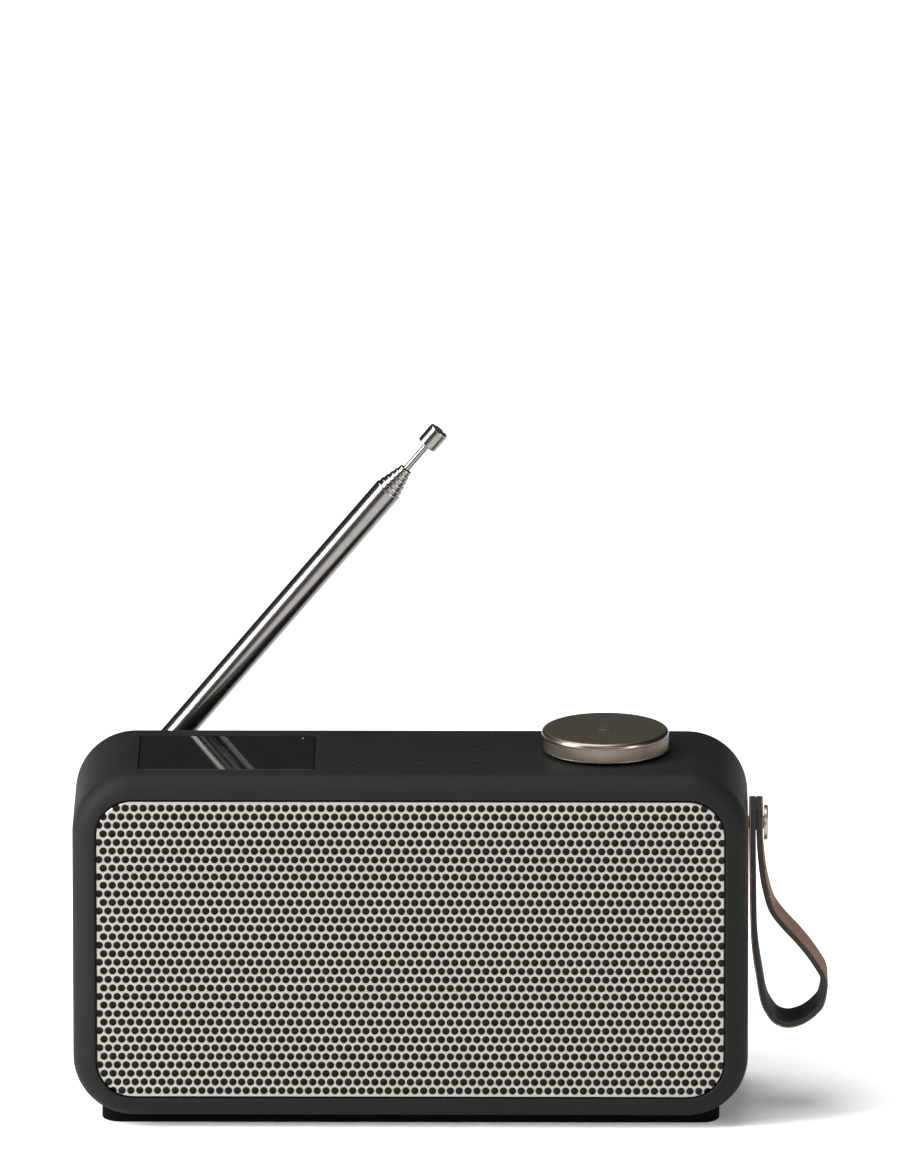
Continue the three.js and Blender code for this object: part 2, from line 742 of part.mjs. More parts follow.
piece(radio, "display_lens", lens, FINISH.lens);
piece(radio, "display_module", displayModule, FINISH.blackPlastic);
piece(radio, "status_light", prism(light, "z", moduleTop + GAP, top - LENS_SINK), FINISH.white);

// ---------------------------------------------------------------- keys

/** A flush round key: cap, flange that stops it under the top wall, and stem. */
function key() {
  const flangeTop = innerTop - GAP;
  const flangeBottom = flangeTop - KEY_FLANGE_T;
  return turnedUp([
    [0, keyStemBottom],
    [KEY_STEM_R, keyStemBottom],
    [KEY_STEM_R, flangeBottom],
    [KEY_R + KEY_FLANGE_W, flangeBottom],
    [KEY_R + KEY_FLANGE_W, flangeTop],
    [KEY_R, flangeTop],
    [KEY_R, top],
    [0, top],
  ]);
}

keyPlaces.forEach(([x, y], i) => {
  piece(assembly(radio, [x, y, 0]), `key_${i + 1}`, key(), FINISH.softTouch);
});

const sheetMargin = KEY_R + KEY_FLANGE_W;
const domeSheet = prism(
  roundedRect(
    (KEY_COLUMNS - 1) * KEY_PITCH_X + 2 * sheetMargin,
    (KEY_ROWS - 1) * KEY_PITCH_Y + 2 * sheetMargin,
    KEY_STEM_R,
    firstKeyX + ((KEY_COLUMNS - 1) * KEY_PITCH_X) / 2,
    KEY_Y,
  ),
  "z",
  boardTop + GAP,
  domeTop,
);
piece(radio, "key_dome_sheet", domeSheet, FINISH.domes);

const topBoard = block(
  [boardLeft, DECK_Y - TOP_BOARD_D / 2, boardTop - BOARD_T],
  [boardRight, DECK_Y + TOP_BOARD_D / 2, boardTop],
);
piece(radio, "top_board", topBoard, FINISH.board);

// ---------------------------------------------------------------- knob and encoder

const plungerBottom = boardTop + GAP + KNOB_TRAVEL;
const plungerTop = plungerBottom + PLUNGER_H;
const shaftTop = hubTop - GAP - HUB_ROOF;

/** The metal cap: a flat top, a rounded rim and an open underside. */
function knob() {
  const out = KNOB_R - KNOB_EDGE_R;
  const up = knobTop - KNOB_EDGE_R;
  const rim = Array.from({ length: EDGE_STEPS + 1 }, (_, i) => {
    const a = (i / EDGE_STEPS) * (Math.PI / 2);
    return [out + KNOB_EDGE_R * Math.cos(a), up + KNOB_EDGE_R * Math.sin(a)];
  });
  return turnedUp(
    [
      [0, knobTop - KNOB_WALL],
      [KNOB_R - KNOB_WALL, knobTop - KNOB_WALL],
      [KNOB_R - KNOB_WALL, knobBottom],
      [KNOB_R, knobBottom],
      ...rim,
      [0, knobTop],
    ],
    KNOB_SIDES,
  );
}

/** The moulded disc inside the knob, with the bore that takes the shaft. */
function knobHub() {
  const outer = KNOB_R - KNOB_WALL - GAP;
  return turnedUp([
    [0, shaftTop + GAP],
    [SHAFT_R + GAP, shaftTop + GAP],
    [SHAFT_R + GAP, hubBottom],
    [outer, hubBottom],
    [outer, hubTop],
    [0, hubTop],
  ]);
}

/** The encoder's case and threaded bushing, bored through for shaft and plunger. */
function encoderBody() {
  const caseTop = innerTop - GAP;
  const half = ENCODER_W / 2;
  const bushing = prism(disc(BUSHING_R), "z", caseTop - THROUGH, nutTop);
  const bore = prism(disc(SHAFT_R + GAP), "z", boardTop, nutTop + THROUGH);
  return cut(joined(block([-half, -half, boardTop + GAP], [half, half, caseTop]), bushing), bore);
}

const encoderNut = cut(
  prism(disc(NUT_R, 0, 0, HEX), "z", top + GAP, nutTop),
  prism(disc(BUSHING_R + GAP), "z", top, nutTop + THROUGH),
);

const knobPlace = assembly(radio, [knobX, KNOB_Y, 0]);
piece(knobPlace, "volume_knob", knob(), FINISH.bronze);
piece(knobPlace, "knob_hub", knobHub(), FINISH.blackPlastic);
const shaft = prism(disc(SHAFT_R), "z", plungerTop + GAP, shaftTop);
piece(knobPlace, "encoder_shaft", shaft, FINISH.steel);
piece(knobPlace, "encoder_body", encoderBody(), FINISH.steel);
piece(knobPlace, "encoder_nut", encoderNut, FINISH.steel);
const plunger = prism(disc(PLUNGER_R, 0, 0, SMALL_SIDES), "z", plungerBottom, plungerTop);
piece(knobPlace, "encoder_plunger", plunger, FINISH.blackPlastic);

// ---------------------------------------------------------------- strap

/** A strip of even thickness along a smooth line in XZ, as a flat outline. */
function ribbon(points, thickness, steps) {
  const line = new THREE.SplineCurve(points.map(([x, z]) => new THREE.Vector2(x, z)));
  const [outer, inner] = [[], []];
  for (let i = 0; i <= steps; i++) {
    const p = line.getPointAt(i / steps);
    const t = line.getTangentAt(i / steps);
    const across = new THREE.Vector2(t.y, -t.x).multiplyScalar(thickness / 2);
    outer.push(p.clone().add(across));
    inner.push(p.clone().sub(across));
  }
  return new THREE.Shape([...outer, ...inner.reverse()]);
}

const strapLine = STRAP_LINE.map(([out, down]) => [side + out, top - down]);
const strapOuterX = side + STRAP_LINE[STRAP_LINE.length - 1][0] + STRAP_T / 2;
const insertOuterX = side - GAP;
const insertInnerX = insertOuterX - INSERT_LENGTH;
const studHeadX = strapOuterX + GAP;

const strap = cut(
  prism(ribbon(strapLine, STRAP_T, STRAP_STEPS), "y", -STRAP_W / 2, STRAP_W / 2),
  prism(disc(STUD_R + GAP, 0, studZ), "x", side, studHeadX),
);

/** The stud: a flat round head with a softened rim, and the stem that goes into the insert. */
function strapStud() {
  const rim = STUD_HEAD_T / 3;
  return turned([
    [0, insertInnerX + GAP],
    [STUD_R, insertInnerX + GAP],
    [STUD_R, studHeadX],
    [STUD_HEAD_R, studHeadX],
    [STUD_HEAD_R, studHeadX + STUD_HEAD_T - rim],
    [STUD_HEAD_R - rim, studHeadX + STUD_HEAD_T],
    [0, studHeadX + STUD_HEAD_T],
  ])
    .rotate([0, 0, -90])
    .translate([0, 0, studZ]);
}

const strapInsert = cut(
  prism(disc(INSERT_R, 0, studZ), "x", insertInnerX, insertOuterX),
  prism(disc(STUD_R + GAP, 0, studZ), "x", insertInnerX - THROUGH, insertOuterX + THROUGH),
);

piece(radio, "strap", strap, FINISH.leather);
piece(radio, "strap_stud", strapStud(), FINISH.steel);
piece(radio, "strap_insert", strapInsert, FINISH.brass);

// ---------------------------------------------------------------- aerial

// The fixed base and its nut are placed at the pivot. The rest is drawn lying along +X from the
// pivot and turned up to its angle.
const aerialFixed = assembly(radio, [aerialPivot[0], 0, aerialPivot[2]]);
const aerial = assembly(radio, aerialPivot);
aerial.rotation.y = THREE.MathUtils.degToRad(-AERIAL_ANGLE);

const baseFront = back + GAP;
const baseBack = baseFront + BASE_T;
const swivelFront = baseBack + GAP - aerialY;
const swivelBack = swivelFront + SWIVEL_T;
const stubEnd = innerBack - AERIAL_NUT_T - 2 * GAP;

const aerialFlange = prism(disc(BASE_R), "y", baseFront, baseBack);
const aerialStub = prism(disc(STUB_R), "y", stubEnd, baseBack);
const aerialBase = cut(
  joined(aerialFlange, aerialStub),
  prism(disc(AERIAL_SCREW_R + GAP, 0, 0, SMALL_SIDES), "y", stubEnd + GAP, baseBack + THROUGH),
);
const aerialNut = cut(
  prism(disc(AERIAL_NUT_R, 0, 0, HEX), "y", innerBack - AERIAL_NUT_T - GAP, innerBack - GAP),
  prism(disc(STUB_R + GAP), "y", stubEnd - THROUGH, innerBack + THROUGH),
);
piece(aerialFixed, "antenna_base", aerialBase, FINISH.chrome);
piece(aerialFixed, "antenna_nut", aerialNut, FINISH.steel);

/** Swivel disc with two ears that carry the tilt pin. */
function aerialSwivel() {
  const plate = cut(
    prism(disc(SWIVEL_R), "y", swivelFront, swivelBack),
    prism(disc(AERIAL_SCREW_R + GAP, 0, 0, SMALL_SIDES), "y", swivelFront - THROUGH, 0),
  );
  const ear = (sign) => {
    const near = LUG_T / 2 + GAP;
    const zs = [sign * near, sign * (near + EAR_T)].sort((a, b) => a - b);
    const arc = Math.asin((EAR_R + swivelFront) / EAR_R);
    const outline = new THREE.Shape();
    const earStart = AERIAL_SCREW_HEAD_R + GAP;
    outline.moveTo(earStart, swivelFront);
    outline.lineTo(AERIAL_PIN_X, swivelFront);
    outline.absarc(AERIAL_PIN_X, 0, EAR_R, -Math.PI / 2 + arc, Math.PI / 2 + arc / 2);
    outline.lineTo(earStart, swivelBack + EAR_T);
    const holeShape = disc(PIN_R + GAP, AERIAL_PIN_X, 0, SMALL_SIDES);
    const hole = prism(holeShape, "z", zs[0] - THROUGH, zs[1] + THROUGH);
    return cut(prism(outline, "z", zs[0], zs[1]), hole);
  };
  return joined(plate, ear(-1), ear(1));
}

/** The block between the ears, with the plug that holds the outer tube. */
function aerialLug() {
  const half = LUG_T / 2;
  const end = prism(disc(LUG_R, AERIAL_PIN_X, 0), "z", -half, half);
  const neck = block([AERIAL_PIN_X, -LUG_R, -half], [AERIAL_START + GAP, LUG_R, half]);
  const plugR = AERIAL_OD / 2 - AERIAL_WALL - GAP;
  const plug = prism(disc(plugR, 0, 0), "x", AERIAL_START, AERIAL_START + PLUG_LENGTH);
  const pinHole = disc(PIN_R + GAP, AERIAL_PIN_X, 0, SMALL_SIDES);
  return cut(joined(end, neck, plug), prism(pinHole, "z", -half - THROUGH, half + THROUGH));
}

const screwHeadFront = swivelBack + GAP;
const screwHeadBack = screwHeadFront + AERIAL_SCREW_HEAD_T;
const shankEnd = stubEnd + 2 * GAP - aerialY;
const aerialScrew = joined(
  prism(disc(AERIAL_SCREW_HEAD_R), "y", screwHeadFront, screwHeadBack),
  prism(disc(AERIAL_SCREW_R, 0, 0, SMALL_SIDES), "y", shankEnd, screwHeadFront + GAP),
);
const pinHalf = LUG_T / 2 + GAP + EAR_T;
const hingePin = prism(disc(PIN_R, AERIAL_PIN_X, 0, SMALL_SIDES), "z", -pinHalf, pinHalf);

piece(aerial, "antenna_swivel", aerialSwivel(), FINISH.chrome);
piece(aerial, "antenna_screw", aerialScrew, FINISH.steel);
piece(aerial, "antenna_hinge_pin", hingePin, FINISH.steel);
piece(aerial, "antenna_lug", aerialLug(), FINISH.chrome);

const tubeEnd = (i) => AERIAL_END + i * AERIAL_STAND_OUT;
const innerStart = AERIAL_START + PLUG_LENGTH + GAP;
for (let i = 0; i < AERIAL_TUBES; i++) {
  const outerR = (AERIAL_OD - i * AERIAL_STEP) / 2;
  const from = i === 0 ? AERIAL_START + GAP : innerStart + i * AERIAL_FOOT_STEP;
  const tube = cut(
    prism(disc(outerR, 0, 0, AERIAL_SIDES), "x", from, tubeEnd(i)),
    prism(disc(outerR - AERIAL_WALL, 0, 0, AERIAL_SIDES), "x", from - THROUGH, tubeEnd(i) + THROUGH),
  );
  piece(aerial, `antenna_tube_${i + 1}`, tube, FINISH.chrome);
}

const rodFrom = innerStart + AERIAL_TUBES * AERIAL_FOOT_STEP;
const rodEnd = tubeEnd(AERIAL_TUBES - 1) + ROD_SHOWN;
const rod = prism(disc(ROD_R, 0, 0, AERIAL_SIDES), "x", rodFrom, rodEnd);
piece(aerial, "antenna_rod", rod, FINISH.chrome);
const tip = prism(disc(TIP_R, 0, 0, AERIAL_SIDES), "x", rodEnd + GAP, rodEnd + TIP_H);
piece(aerial, "antenna_tip", tip, FINISH.chrome);

// ---------------------------------------------------------------- boards, battery and sockets

const mainBoard = block(
  [-MAIN_BOARD_W / 2, mainBoardFront, mainBoardBottom],
  [MAIN_BOARD_W / 2, mainBoardBack, mainBoardBottom + MAIN_BOARD_H],
);
const tunerTop = mainBoardBottom + MAIN_BOARD_H / 2 + TUNER[2] / 2;
const tuner = block(
  [-TUNER[0] / 2, mainBoardFront - GAP - TUNER[1], tunerTop - TUNER[2]],
  [TUNER[0] / 2, mainBoardFront - GAP, tunerTop],
);
const battery = prism(
  roundedRect(BATTERY[0], BATTERY[2], 2 * WALL, 0, batteryBottom + BATTERY[2] / 2),
  "y",
  batteryBack - BATTERY[1],
  batteryBack,
);

const socketFrom = mainBoardBack + GAP;
const socketTo = back - GAP;
const usbSocket = cut(
  prism(roundedRect(USB[0], USB[1], USB_R, USB_X, socketZ), "y", socketFrom, socketTo),
  prism(
    roundedRect(USB[0] - 2 * GAP, USB[1] - 2 * GAP, USB_R - GAP, USB_X, socketZ),
    "y",
    socketTo - USB_MOUTH_DEPTH,
    socketTo + THROUGH,
  ),
);
const jackBore = disc(JACK_BORE_R, JACK_X, socketZ, SMALL_SIDES);
const auxJack = cut(
  prism(disc(JACK_R, JACK_X, socketZ), "y", socketFrom, socketTo),
  prism(jackBore, "y", socketTo - JACK_BORE_DEPTH, socketTo + THROUGH),
);

piece(radio, "main_board", mainBoard, FINISH.board);
piece(radio, "tuner_module", tuner, FINISH.steel);
piece(radio, "battery_pack", battery, FINISH.battery);
piece(radio, "usb_socket", usbSocket, FINISH.steel);
piece(radio, "aux_jack", auxJack, FINISH.blackPlastic);

/** A screw of the rear cover: shank, flat head and a cross recess. */
function coverScrew() {
  const headTop = screwSeat + SCREW_HEAD_T;
  const slotHalf = SCREW_R / 4;
  const slotDepth = headTop - SCREW_HEAD_T / 2;
  const reach = SCREW_HEAD_R / 2;
  const body = joined(
    prism(disc(SCREW_HEAD_R), "y", screwSeat, headTop),
    prism(disc(SCREW_R, 0, 0, SMALL_SIDES), "y", screwSeat - SCREW_LENGTH, screwSeat + GAP),
  );
  return cut(
    body,
    block([-reach, slotDepth, -slotHalf], [reach, headTop + THROUGH, slotHalf]),
    block([-slotHalf, slotDepth, -reach], [slotHalf, headTop + THROUGH, reach]),
  );
}

screwPlaces.forEach(([sx, z], i) => {
  const place = assembly(radio, [sx * screwX, 0, z]);
  piece(place, `rear_screw_${i + 1}`, coverScrew(), FINISH.steel);
});

export default radio;
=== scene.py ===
"""Tabletop radio: moulded soft-touch cabinet, perforated metal grille, glossy display, six flush keys,
knurled metal knob, two-layer leather strap and a chrome telescopic aerial. Lengths here are in
millimetres until a mesh is made."""

import json
import math

import bmesh
import bpy
import numpy as np
from mathutils import Matrix, Vector


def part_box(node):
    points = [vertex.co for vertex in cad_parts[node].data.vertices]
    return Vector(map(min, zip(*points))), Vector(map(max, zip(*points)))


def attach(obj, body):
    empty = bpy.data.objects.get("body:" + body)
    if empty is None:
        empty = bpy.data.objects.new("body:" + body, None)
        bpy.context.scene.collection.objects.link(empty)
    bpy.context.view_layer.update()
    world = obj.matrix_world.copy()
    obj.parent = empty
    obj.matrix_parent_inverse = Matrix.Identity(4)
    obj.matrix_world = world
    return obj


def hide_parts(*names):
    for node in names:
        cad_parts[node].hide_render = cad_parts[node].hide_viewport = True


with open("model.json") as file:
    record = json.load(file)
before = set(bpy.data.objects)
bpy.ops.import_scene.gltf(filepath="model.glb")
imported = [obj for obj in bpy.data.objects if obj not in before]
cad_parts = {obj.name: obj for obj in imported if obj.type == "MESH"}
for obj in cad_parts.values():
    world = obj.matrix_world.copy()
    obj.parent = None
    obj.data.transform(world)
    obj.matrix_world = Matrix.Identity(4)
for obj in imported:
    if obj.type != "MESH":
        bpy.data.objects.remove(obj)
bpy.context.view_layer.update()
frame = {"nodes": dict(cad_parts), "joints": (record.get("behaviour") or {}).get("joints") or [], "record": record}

MM = 0.001
JOINTS = {joint["name"]: joint for joint in frame["joints"]}

# -------- sizes of the finish

CORNER_R = 19.5  # cabinet corners seen from the front
FRONT_R = 8.0  # rounding round the front face
BACK_R = 12.0  # rounding round the back face
WALL = 3.0
FRONT_WALL = 4.0
SLOT = 0.5  # shadow gap round the grille
GRILLE_R = 12.0  # corners of the grille's opening
LIP_R = 0.5  # eased edge of the grille's opening
GAP = 0.3  # clearance between parts that fit together
KNOB_HOLE_R = 4.8
INSERT_HOLE_R = 4.3
SCREW_HOLE_R = 1.8
SEAT_R, SEAT_DEPTH = 3.4, 2.1  # seat of a cover screw's head
SOCKET_HOLE_R = 3.5  # audio socket's and aerial's holes in the cover
FOOT_CORNER = 6.0
FOOT_EDGE = 0.7
FOOT_LIFT = 0.03  # hair between the foot's top and the cabinet

HOLE_R = 1.26
HOLE_COLUMNS = 35  # from the middle to each side
HOLE_ROWS = 34
SPARE = 3  # rows and columns of sheet past the last holes, cut off with the outline
EDGE_CUT = 0.75  # last column's centre to the sheet's edge
SHEET_T = 0.6
SHEET_EDGE = 0.2  # chamfer round the sheet's front edge
CORNER_HOLES = 0.4  # holes with centres up to this far past the rounded corners are cut by them

KNURL_COUNT = 210
KNURL_DEPTH = 0.16
KEY_R = 5.58
KEY_GAP = 0.02
KEY_EDGE = 0.03
KEY_STEP = 4.6  # how much thinner a key's stem is than its stop flange
ICON_R = 0.27
KNOB_WALL = 1.6
KNOB_EDGE = 1.5
RING_IN, RING_OUT, RING_DEPTH = 2.4, 2.95, 0.1  # fine groove round the middle of the knob's top

STRAP_T = 2.1
FACE_T = 0.5  # brown outer layer of the strap
BOND_LENGTH = 7.0  # filling between the ends of the strap's legs
BOND_SINK = 0.3  # into each leg, and in from the strap's edges
STUD_HOLE_R = 2.3
# Middle line of the strap: out from the cabinet's side and down from its top, from the end of the
# inner leg, round the hanging loop, to the end of the outer leg.
STRAP_LINE = [
    (1.4, 17.1), (1.4, 26), (1.6, 42), (1.9, 56.7), (2.5, 64.7), (3.7, 72.6), (5.1, 80.6),
    (6.9, 84.6), (9.2, 87.4), (12.7, 88.6), (16.3, 87.9), (19, 86.5), (21.7, 84.2), (23.6, 81.5),
    (24.6, 75.8), (24.1, 72.4), (21.7, 68.3), (18.9, 64.3), (15.6, 60.3), (12, 56.4), (8.8, 52.4),
    (6.9, 48.5), (5.1, 41), (4.15, 33.5), (3.7, 27), (3.7, 22), (3.7, 17.1),
]

# -------- places taken from the frame


def corners(node):
    """Lowest and highest corner of a CAD node, in millimetres."""
    low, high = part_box(node)
    return np.array(low) / MM, np.array(high) / MM


def spans(node):
    """Lowest corner, highest corner, middle and half sizes of a CAD node, in millimetres."""
    low, high = corners(node)
    return low, high, (low + high) / 2, (high - low) / 2


def middle(node):
    """The middle of a CAD node's box, in millimetres."""
    return spans(node)[2]


shell_low, shell_high = corners("cabinet_shell")
SIDE = shell_high[0]
TOP = shell_high[2]
BOTTOM = shell_low[2]
FRONT = shell_low[1]
BACK = corners("rear_cover")[1][1]
MID_Z = (TOP + BOTTOM) / 2
HALF = (SIDE, (TOP - BOTTOM) / 2)
SHELL_BACK = shell_high[1]
COVER_FRONT = SHELL_BACK + GAP

# -------- surfaces as arrays

UP = np.eye(3)
TO_BACK = np.array([[1, 0, 0], [0, 0, 1], [0, 1, 0]], float)
TO_RIGHT = np.array([[0, 1, 0], [0, 0, 1], [1, 0, 0]], float)


def put(points, axes=UP, origin=(0, 0, 0)):
    """Local x, y and height turned onto three directions and moved to an origin."""
    return points @ np.asarray(axes, float) + np.asarray(origin, float)


def grid_faces(rows, columns, ring=False):
    """The quads of a grid whose columns close on themselves, and whose rows do if it is a ring."""
    row = np.arange(rows if ring else rows - 1)[:, None]
    column = np.arange(columns)[None, :]
    after, beside = (row + 1) % rows, (column + 1) % columns
    quads = (row * columns + column, row * columns + beside, after * columns + beside,
             after * columns + column)
    return np.stack(quads, -1).reshape(-1, 4)


def skin(grid, ring=False, caps=(True, True)):
    """A grid of points as a surface: its quads, and its first and last rows closed by flat faces."""
    rows, columns, _ = grid.shape
    faces = [tuple(face) for face in grid_faces(rows, columns, ring)]
    if not ring and caps[0]:
        faces.append(tuple(range(columns)))
    if not ring and caps[1]:
        faces.append(tuple(range((rows - 1) * columns, rows * columns)))
    return grid.reshape(-1, 3), faces


def moved(surface, axes=UP, origin=(0, 0, 0)):
    """A surface turned and moved."""
    return put(surface[0], axes, origin), surface[1]


def arc(centre, radius, start, end, steps):
    """Points on a circle about a centre, from one angle in degrees to another."""
    angle = np.radians(np.linspace(start, end, steps + 1))
    return np.stack([centre[0] + radius * np.cos(angle), centre[1] + radius * np.sin(angle)], 1)


def lathe(profile, sides=64, ring=False):
    """A profile of (radius, height) turned about the height axis: x = r cos u, y = r sin u."""
    profile = np.asarray(profile, float)
    turn = 2 * np.pi * np.arange(sides) / sides
    x = profile[:, :1] * np.cos(turn)
    y = profile[:, :1] * np.sin(turn)
    height = np.repeat(profile[:, 1:], sides, 1)
    on_axis = (profile[0, 0] < 1e-6, profile[-1, 0] < 1e-6)
    return skin(np.stack([x, y, height], -1), ring, (not on_axis[0], not on_axis[1]))


def rounded(half_w, half_h, corner, steps=16):
    """Points round a rectangle with circular corners, anticlockwise from the right."""
    quarters = []
    for turn, (sx, sy) in enumerate([(1, 1), (-1, 1), (-1, -1), (1, -1)]):
        centre = (sx * (half_w - corner), sy * (half_h - corner))
        quarters.append(arc(centre, corner, 90 * turn, 90 * turn + 90, steps))
    return np.concatenate(quarters)


def at_height(outline, height):
    """An outline laid level at a height."""
    return np.column_stack([outline, np.full(len(outline), height)])


def carried(profile, half, steps=16):
    """A profile of (inset, height, corner) carried round a rounded rectangle: each row of the grid is
    the outline drawn in by its inset, at its height."""
    return np.stack([at_height(rounded(half[0] - inset, half[1] - inset, corner, steps), height)
                     for inset, height, corner in profile])


def drawn_in(outline, distance):
    """A closed outline moved inwards along its normals by a distance."""
    along = np.roll(outline, -1, 0) - np.roll(outline, 1, 0)
    normal = np.stack([along[:, 1], -along[:, 0]], 1)
    normal /= np.linalg.norm(normal, axis=1, keepdims=True)
    return outline - normal * distance


def slab(outline, low, high, edge=0.2, steps=3):
    """An anticlockwise outline carried from low to high, with both its edges rounded."""
    under = arc((edge, low + edge), edge, 270, 180, steps)
    over = arc((edge, high - edge), edge, 180, 90, steps)
    section = np.concatenate([under, over])
    return skin(np.stack([at_height(drawn_in(outline, inset), height) for inset, height in section]))


def circle(radius, sides=48, centre=(0, 0)):
    """An anticlockwise circle."""
    return arc(centre, radius, 0, 360 - 360 / sides, sides - 1)


def drill(radius, sides, low, high, centre=(0, 0)):
    """A plain round cutter from low to high."""
    return skin(np.stack([at_height(circle(radius, sides, centre), h) for h in (low, high)]))


def turned_rim(radius, top, edge, steps):
    """The quarter circle that rounds the upper edge of a turned profile, as a list of points."""
    return [tuple(p) for p in arc((radius - edge, top - edge), edge, 0, 90, steps)]


def bar_along(path, radius, sides):
    """A round section carried along a line in XY at height zero, drawn in towards its ends."""
    path = np.asarray(path, float)
    along = np.gradient(path, axis=0)
    along /= np.linalg.norm(along, axis=1, keepdims=True)
    across = np.stack([-along[:, 1], along[:, 0]], 1)
    turn = 2 * np.pi * np.arange(sides) / sides
    reach = np.sin(np.linspace(0, np.pi, len(path))) ** 0.15
    reach = np.where(reach < 0.35, 0.35, reach)[:, None]
    xy = path[:, None, :] + across[:, None, :] * (radius * np.cos(turn) * reach)[..., None]
    height = radius * np.sin(turn) * reach
    return skin(np.concatenate([xy, height[..., None]], -1))


def spline(points, count):
    """A smooth line through points: Catmull-Rom cubics, resampled to even steps of length."""
    p = np.asarray(points, float)
    p = np.concatenate([[2 * p[0] - p[1]], p, [2 * p[-1] - p[-2]]])
    t = np.linspace(0, len(p) - 3 - 1e-9, 40 * len(p))
    i = t.astype(int)
    f = (t - i)[:, None]
    a, b, c, d = p[i], p[i + 1], p[i + 2], p[i + 3]
    line = 0.5 * (2 * b + (c - a) * f + (2 * a - 5 * b + 4 * c - d) * f**2
                  + (3 * b - a - 3 * c + d) * f**3)
    length = np.concatenate([[0], np.cumsum(np.linalg.norm(np.diff(line, axis=0), axis=1))])
    even = np.linspace(0, length[-1], count)
    return np.stack([np.interp(even, length, line[:, k]) for k in range(line.shape[1])], 1)


# -------- surfaces made into pieces


def shade(piece, angle):
    """Smooth shading, with the edges sharper than an angle left crisp."""
    piece.data.shade_smooth()
    piece.data.set_sharp_from_angle(angle=math.radians(angle))


def mesh_object(name, surfaces):
    """Surfaces joined in one mesh, in metres, with doubles merged and faces turned out."""
    points, faces, start = [], [], 0
    for verts, quads in surfaces:
        points.append(verts)
        faces += [tuple(int(i) + start for i in face) for face in quads]
        start += len(verts)
    mesh = bpy.data.meshes.new(name)
    mesh.from_pydata(np.concatenate(points) * MM, [], faces)
    work = bmesh.new()
    work.from_mesh(mesh)
    bmesh.ops.remove_doubles(work, verts=work.verts, dist=1e-7)
    bmesh.ops.dissolve_degenerate(work, edges=work.edges, dist=1e-8)
    bmesh.ops.recalc_face_normals(work, faces=work.faces)
    work.to_mesh(mesh)
    work.free()
    piece = bpy.data.objects.new(name, mesh)
    bpy.context.scene.collection.objects.link(piece)
    return piece


def placed(name, surface, axes, origin):
    """One surface made a piece, turned and moved to its place."""
    return mesh_object(name, [moved(surface, axes, origin)])


def turned(name, profile, sides, axes, origin, ring=False):
    """A profile turned about its axis, made a piece and put in its place."""
    return placed(name, lathe(profile, sides, ring), axes, origin)


def cut(piece, cutters, operation="DIFFERENCE", solver="EXACT"):
    """Solids cut out of a piece, joined to it, or the piece kept only inside them."""
    for surface in cutters:
        tool = mesh_object(piece.name + "_cutter", [surface])
        modifier = piece.modifiers.new("cut", "BOOLEAN")
        modifier.operation = operation
        modifier.solver = solver
        modifier.object = tool
        bpy.context.view_layer.update()
        shaped = piece.evaluated_get(bpy.context.evaluated_depsgraph_get())
        result = bpy.data.meshes.new_from_object(shaped)
        piece.modifiers.clear()
        piece.data = result
        bpy.data.objects.remove(tool)


def finish(piece, material, body, replaces=(), angle=35):
    """Shading, material, body and the CAD nodes that a piece stands for."""
    shade(piece, angle)
    even = piece.modifiers.new("even", "WEIGHTED_NORMAL")
    even.keep_sharp, even.weight = True, 100
    piece.data.materials.clear()
    piece.data.materials.append(material)
    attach(piece, body)
    if replaces:
        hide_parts(*replaces)


# -------- materials


def operator(name, reflected=False):
    """A method of Field that adds one Math node."""
    def method(field, *other):
        """The field first, or second in a reflected form such as 1 - mask."""
        return field.paint.math(name, *((*other, field) if reflected else (field, *other)))
    return method


class Field:
    """A number that varies over a surface. Sums, products and comparisons add their Math nodes."""

    def __init__(self, paint, socket):
        """Keeps the paint that the number belongs to and the socket that gives it."""
        self.paint, self.socket = paint, socket

    __add__ = __radd__ = operator("ADD")
    __sub__ = operator("SUBTRACT")
    __rsub__ = operator("SUBTRACT", reflected=True)
    __mul__ = __rmul__ = operator("MULTIPLY")
    __pow__ = operator("POWER")
    __gt__ = operator("GREATER_THAN")
    __abs__ = operator("ABSOLUTE")


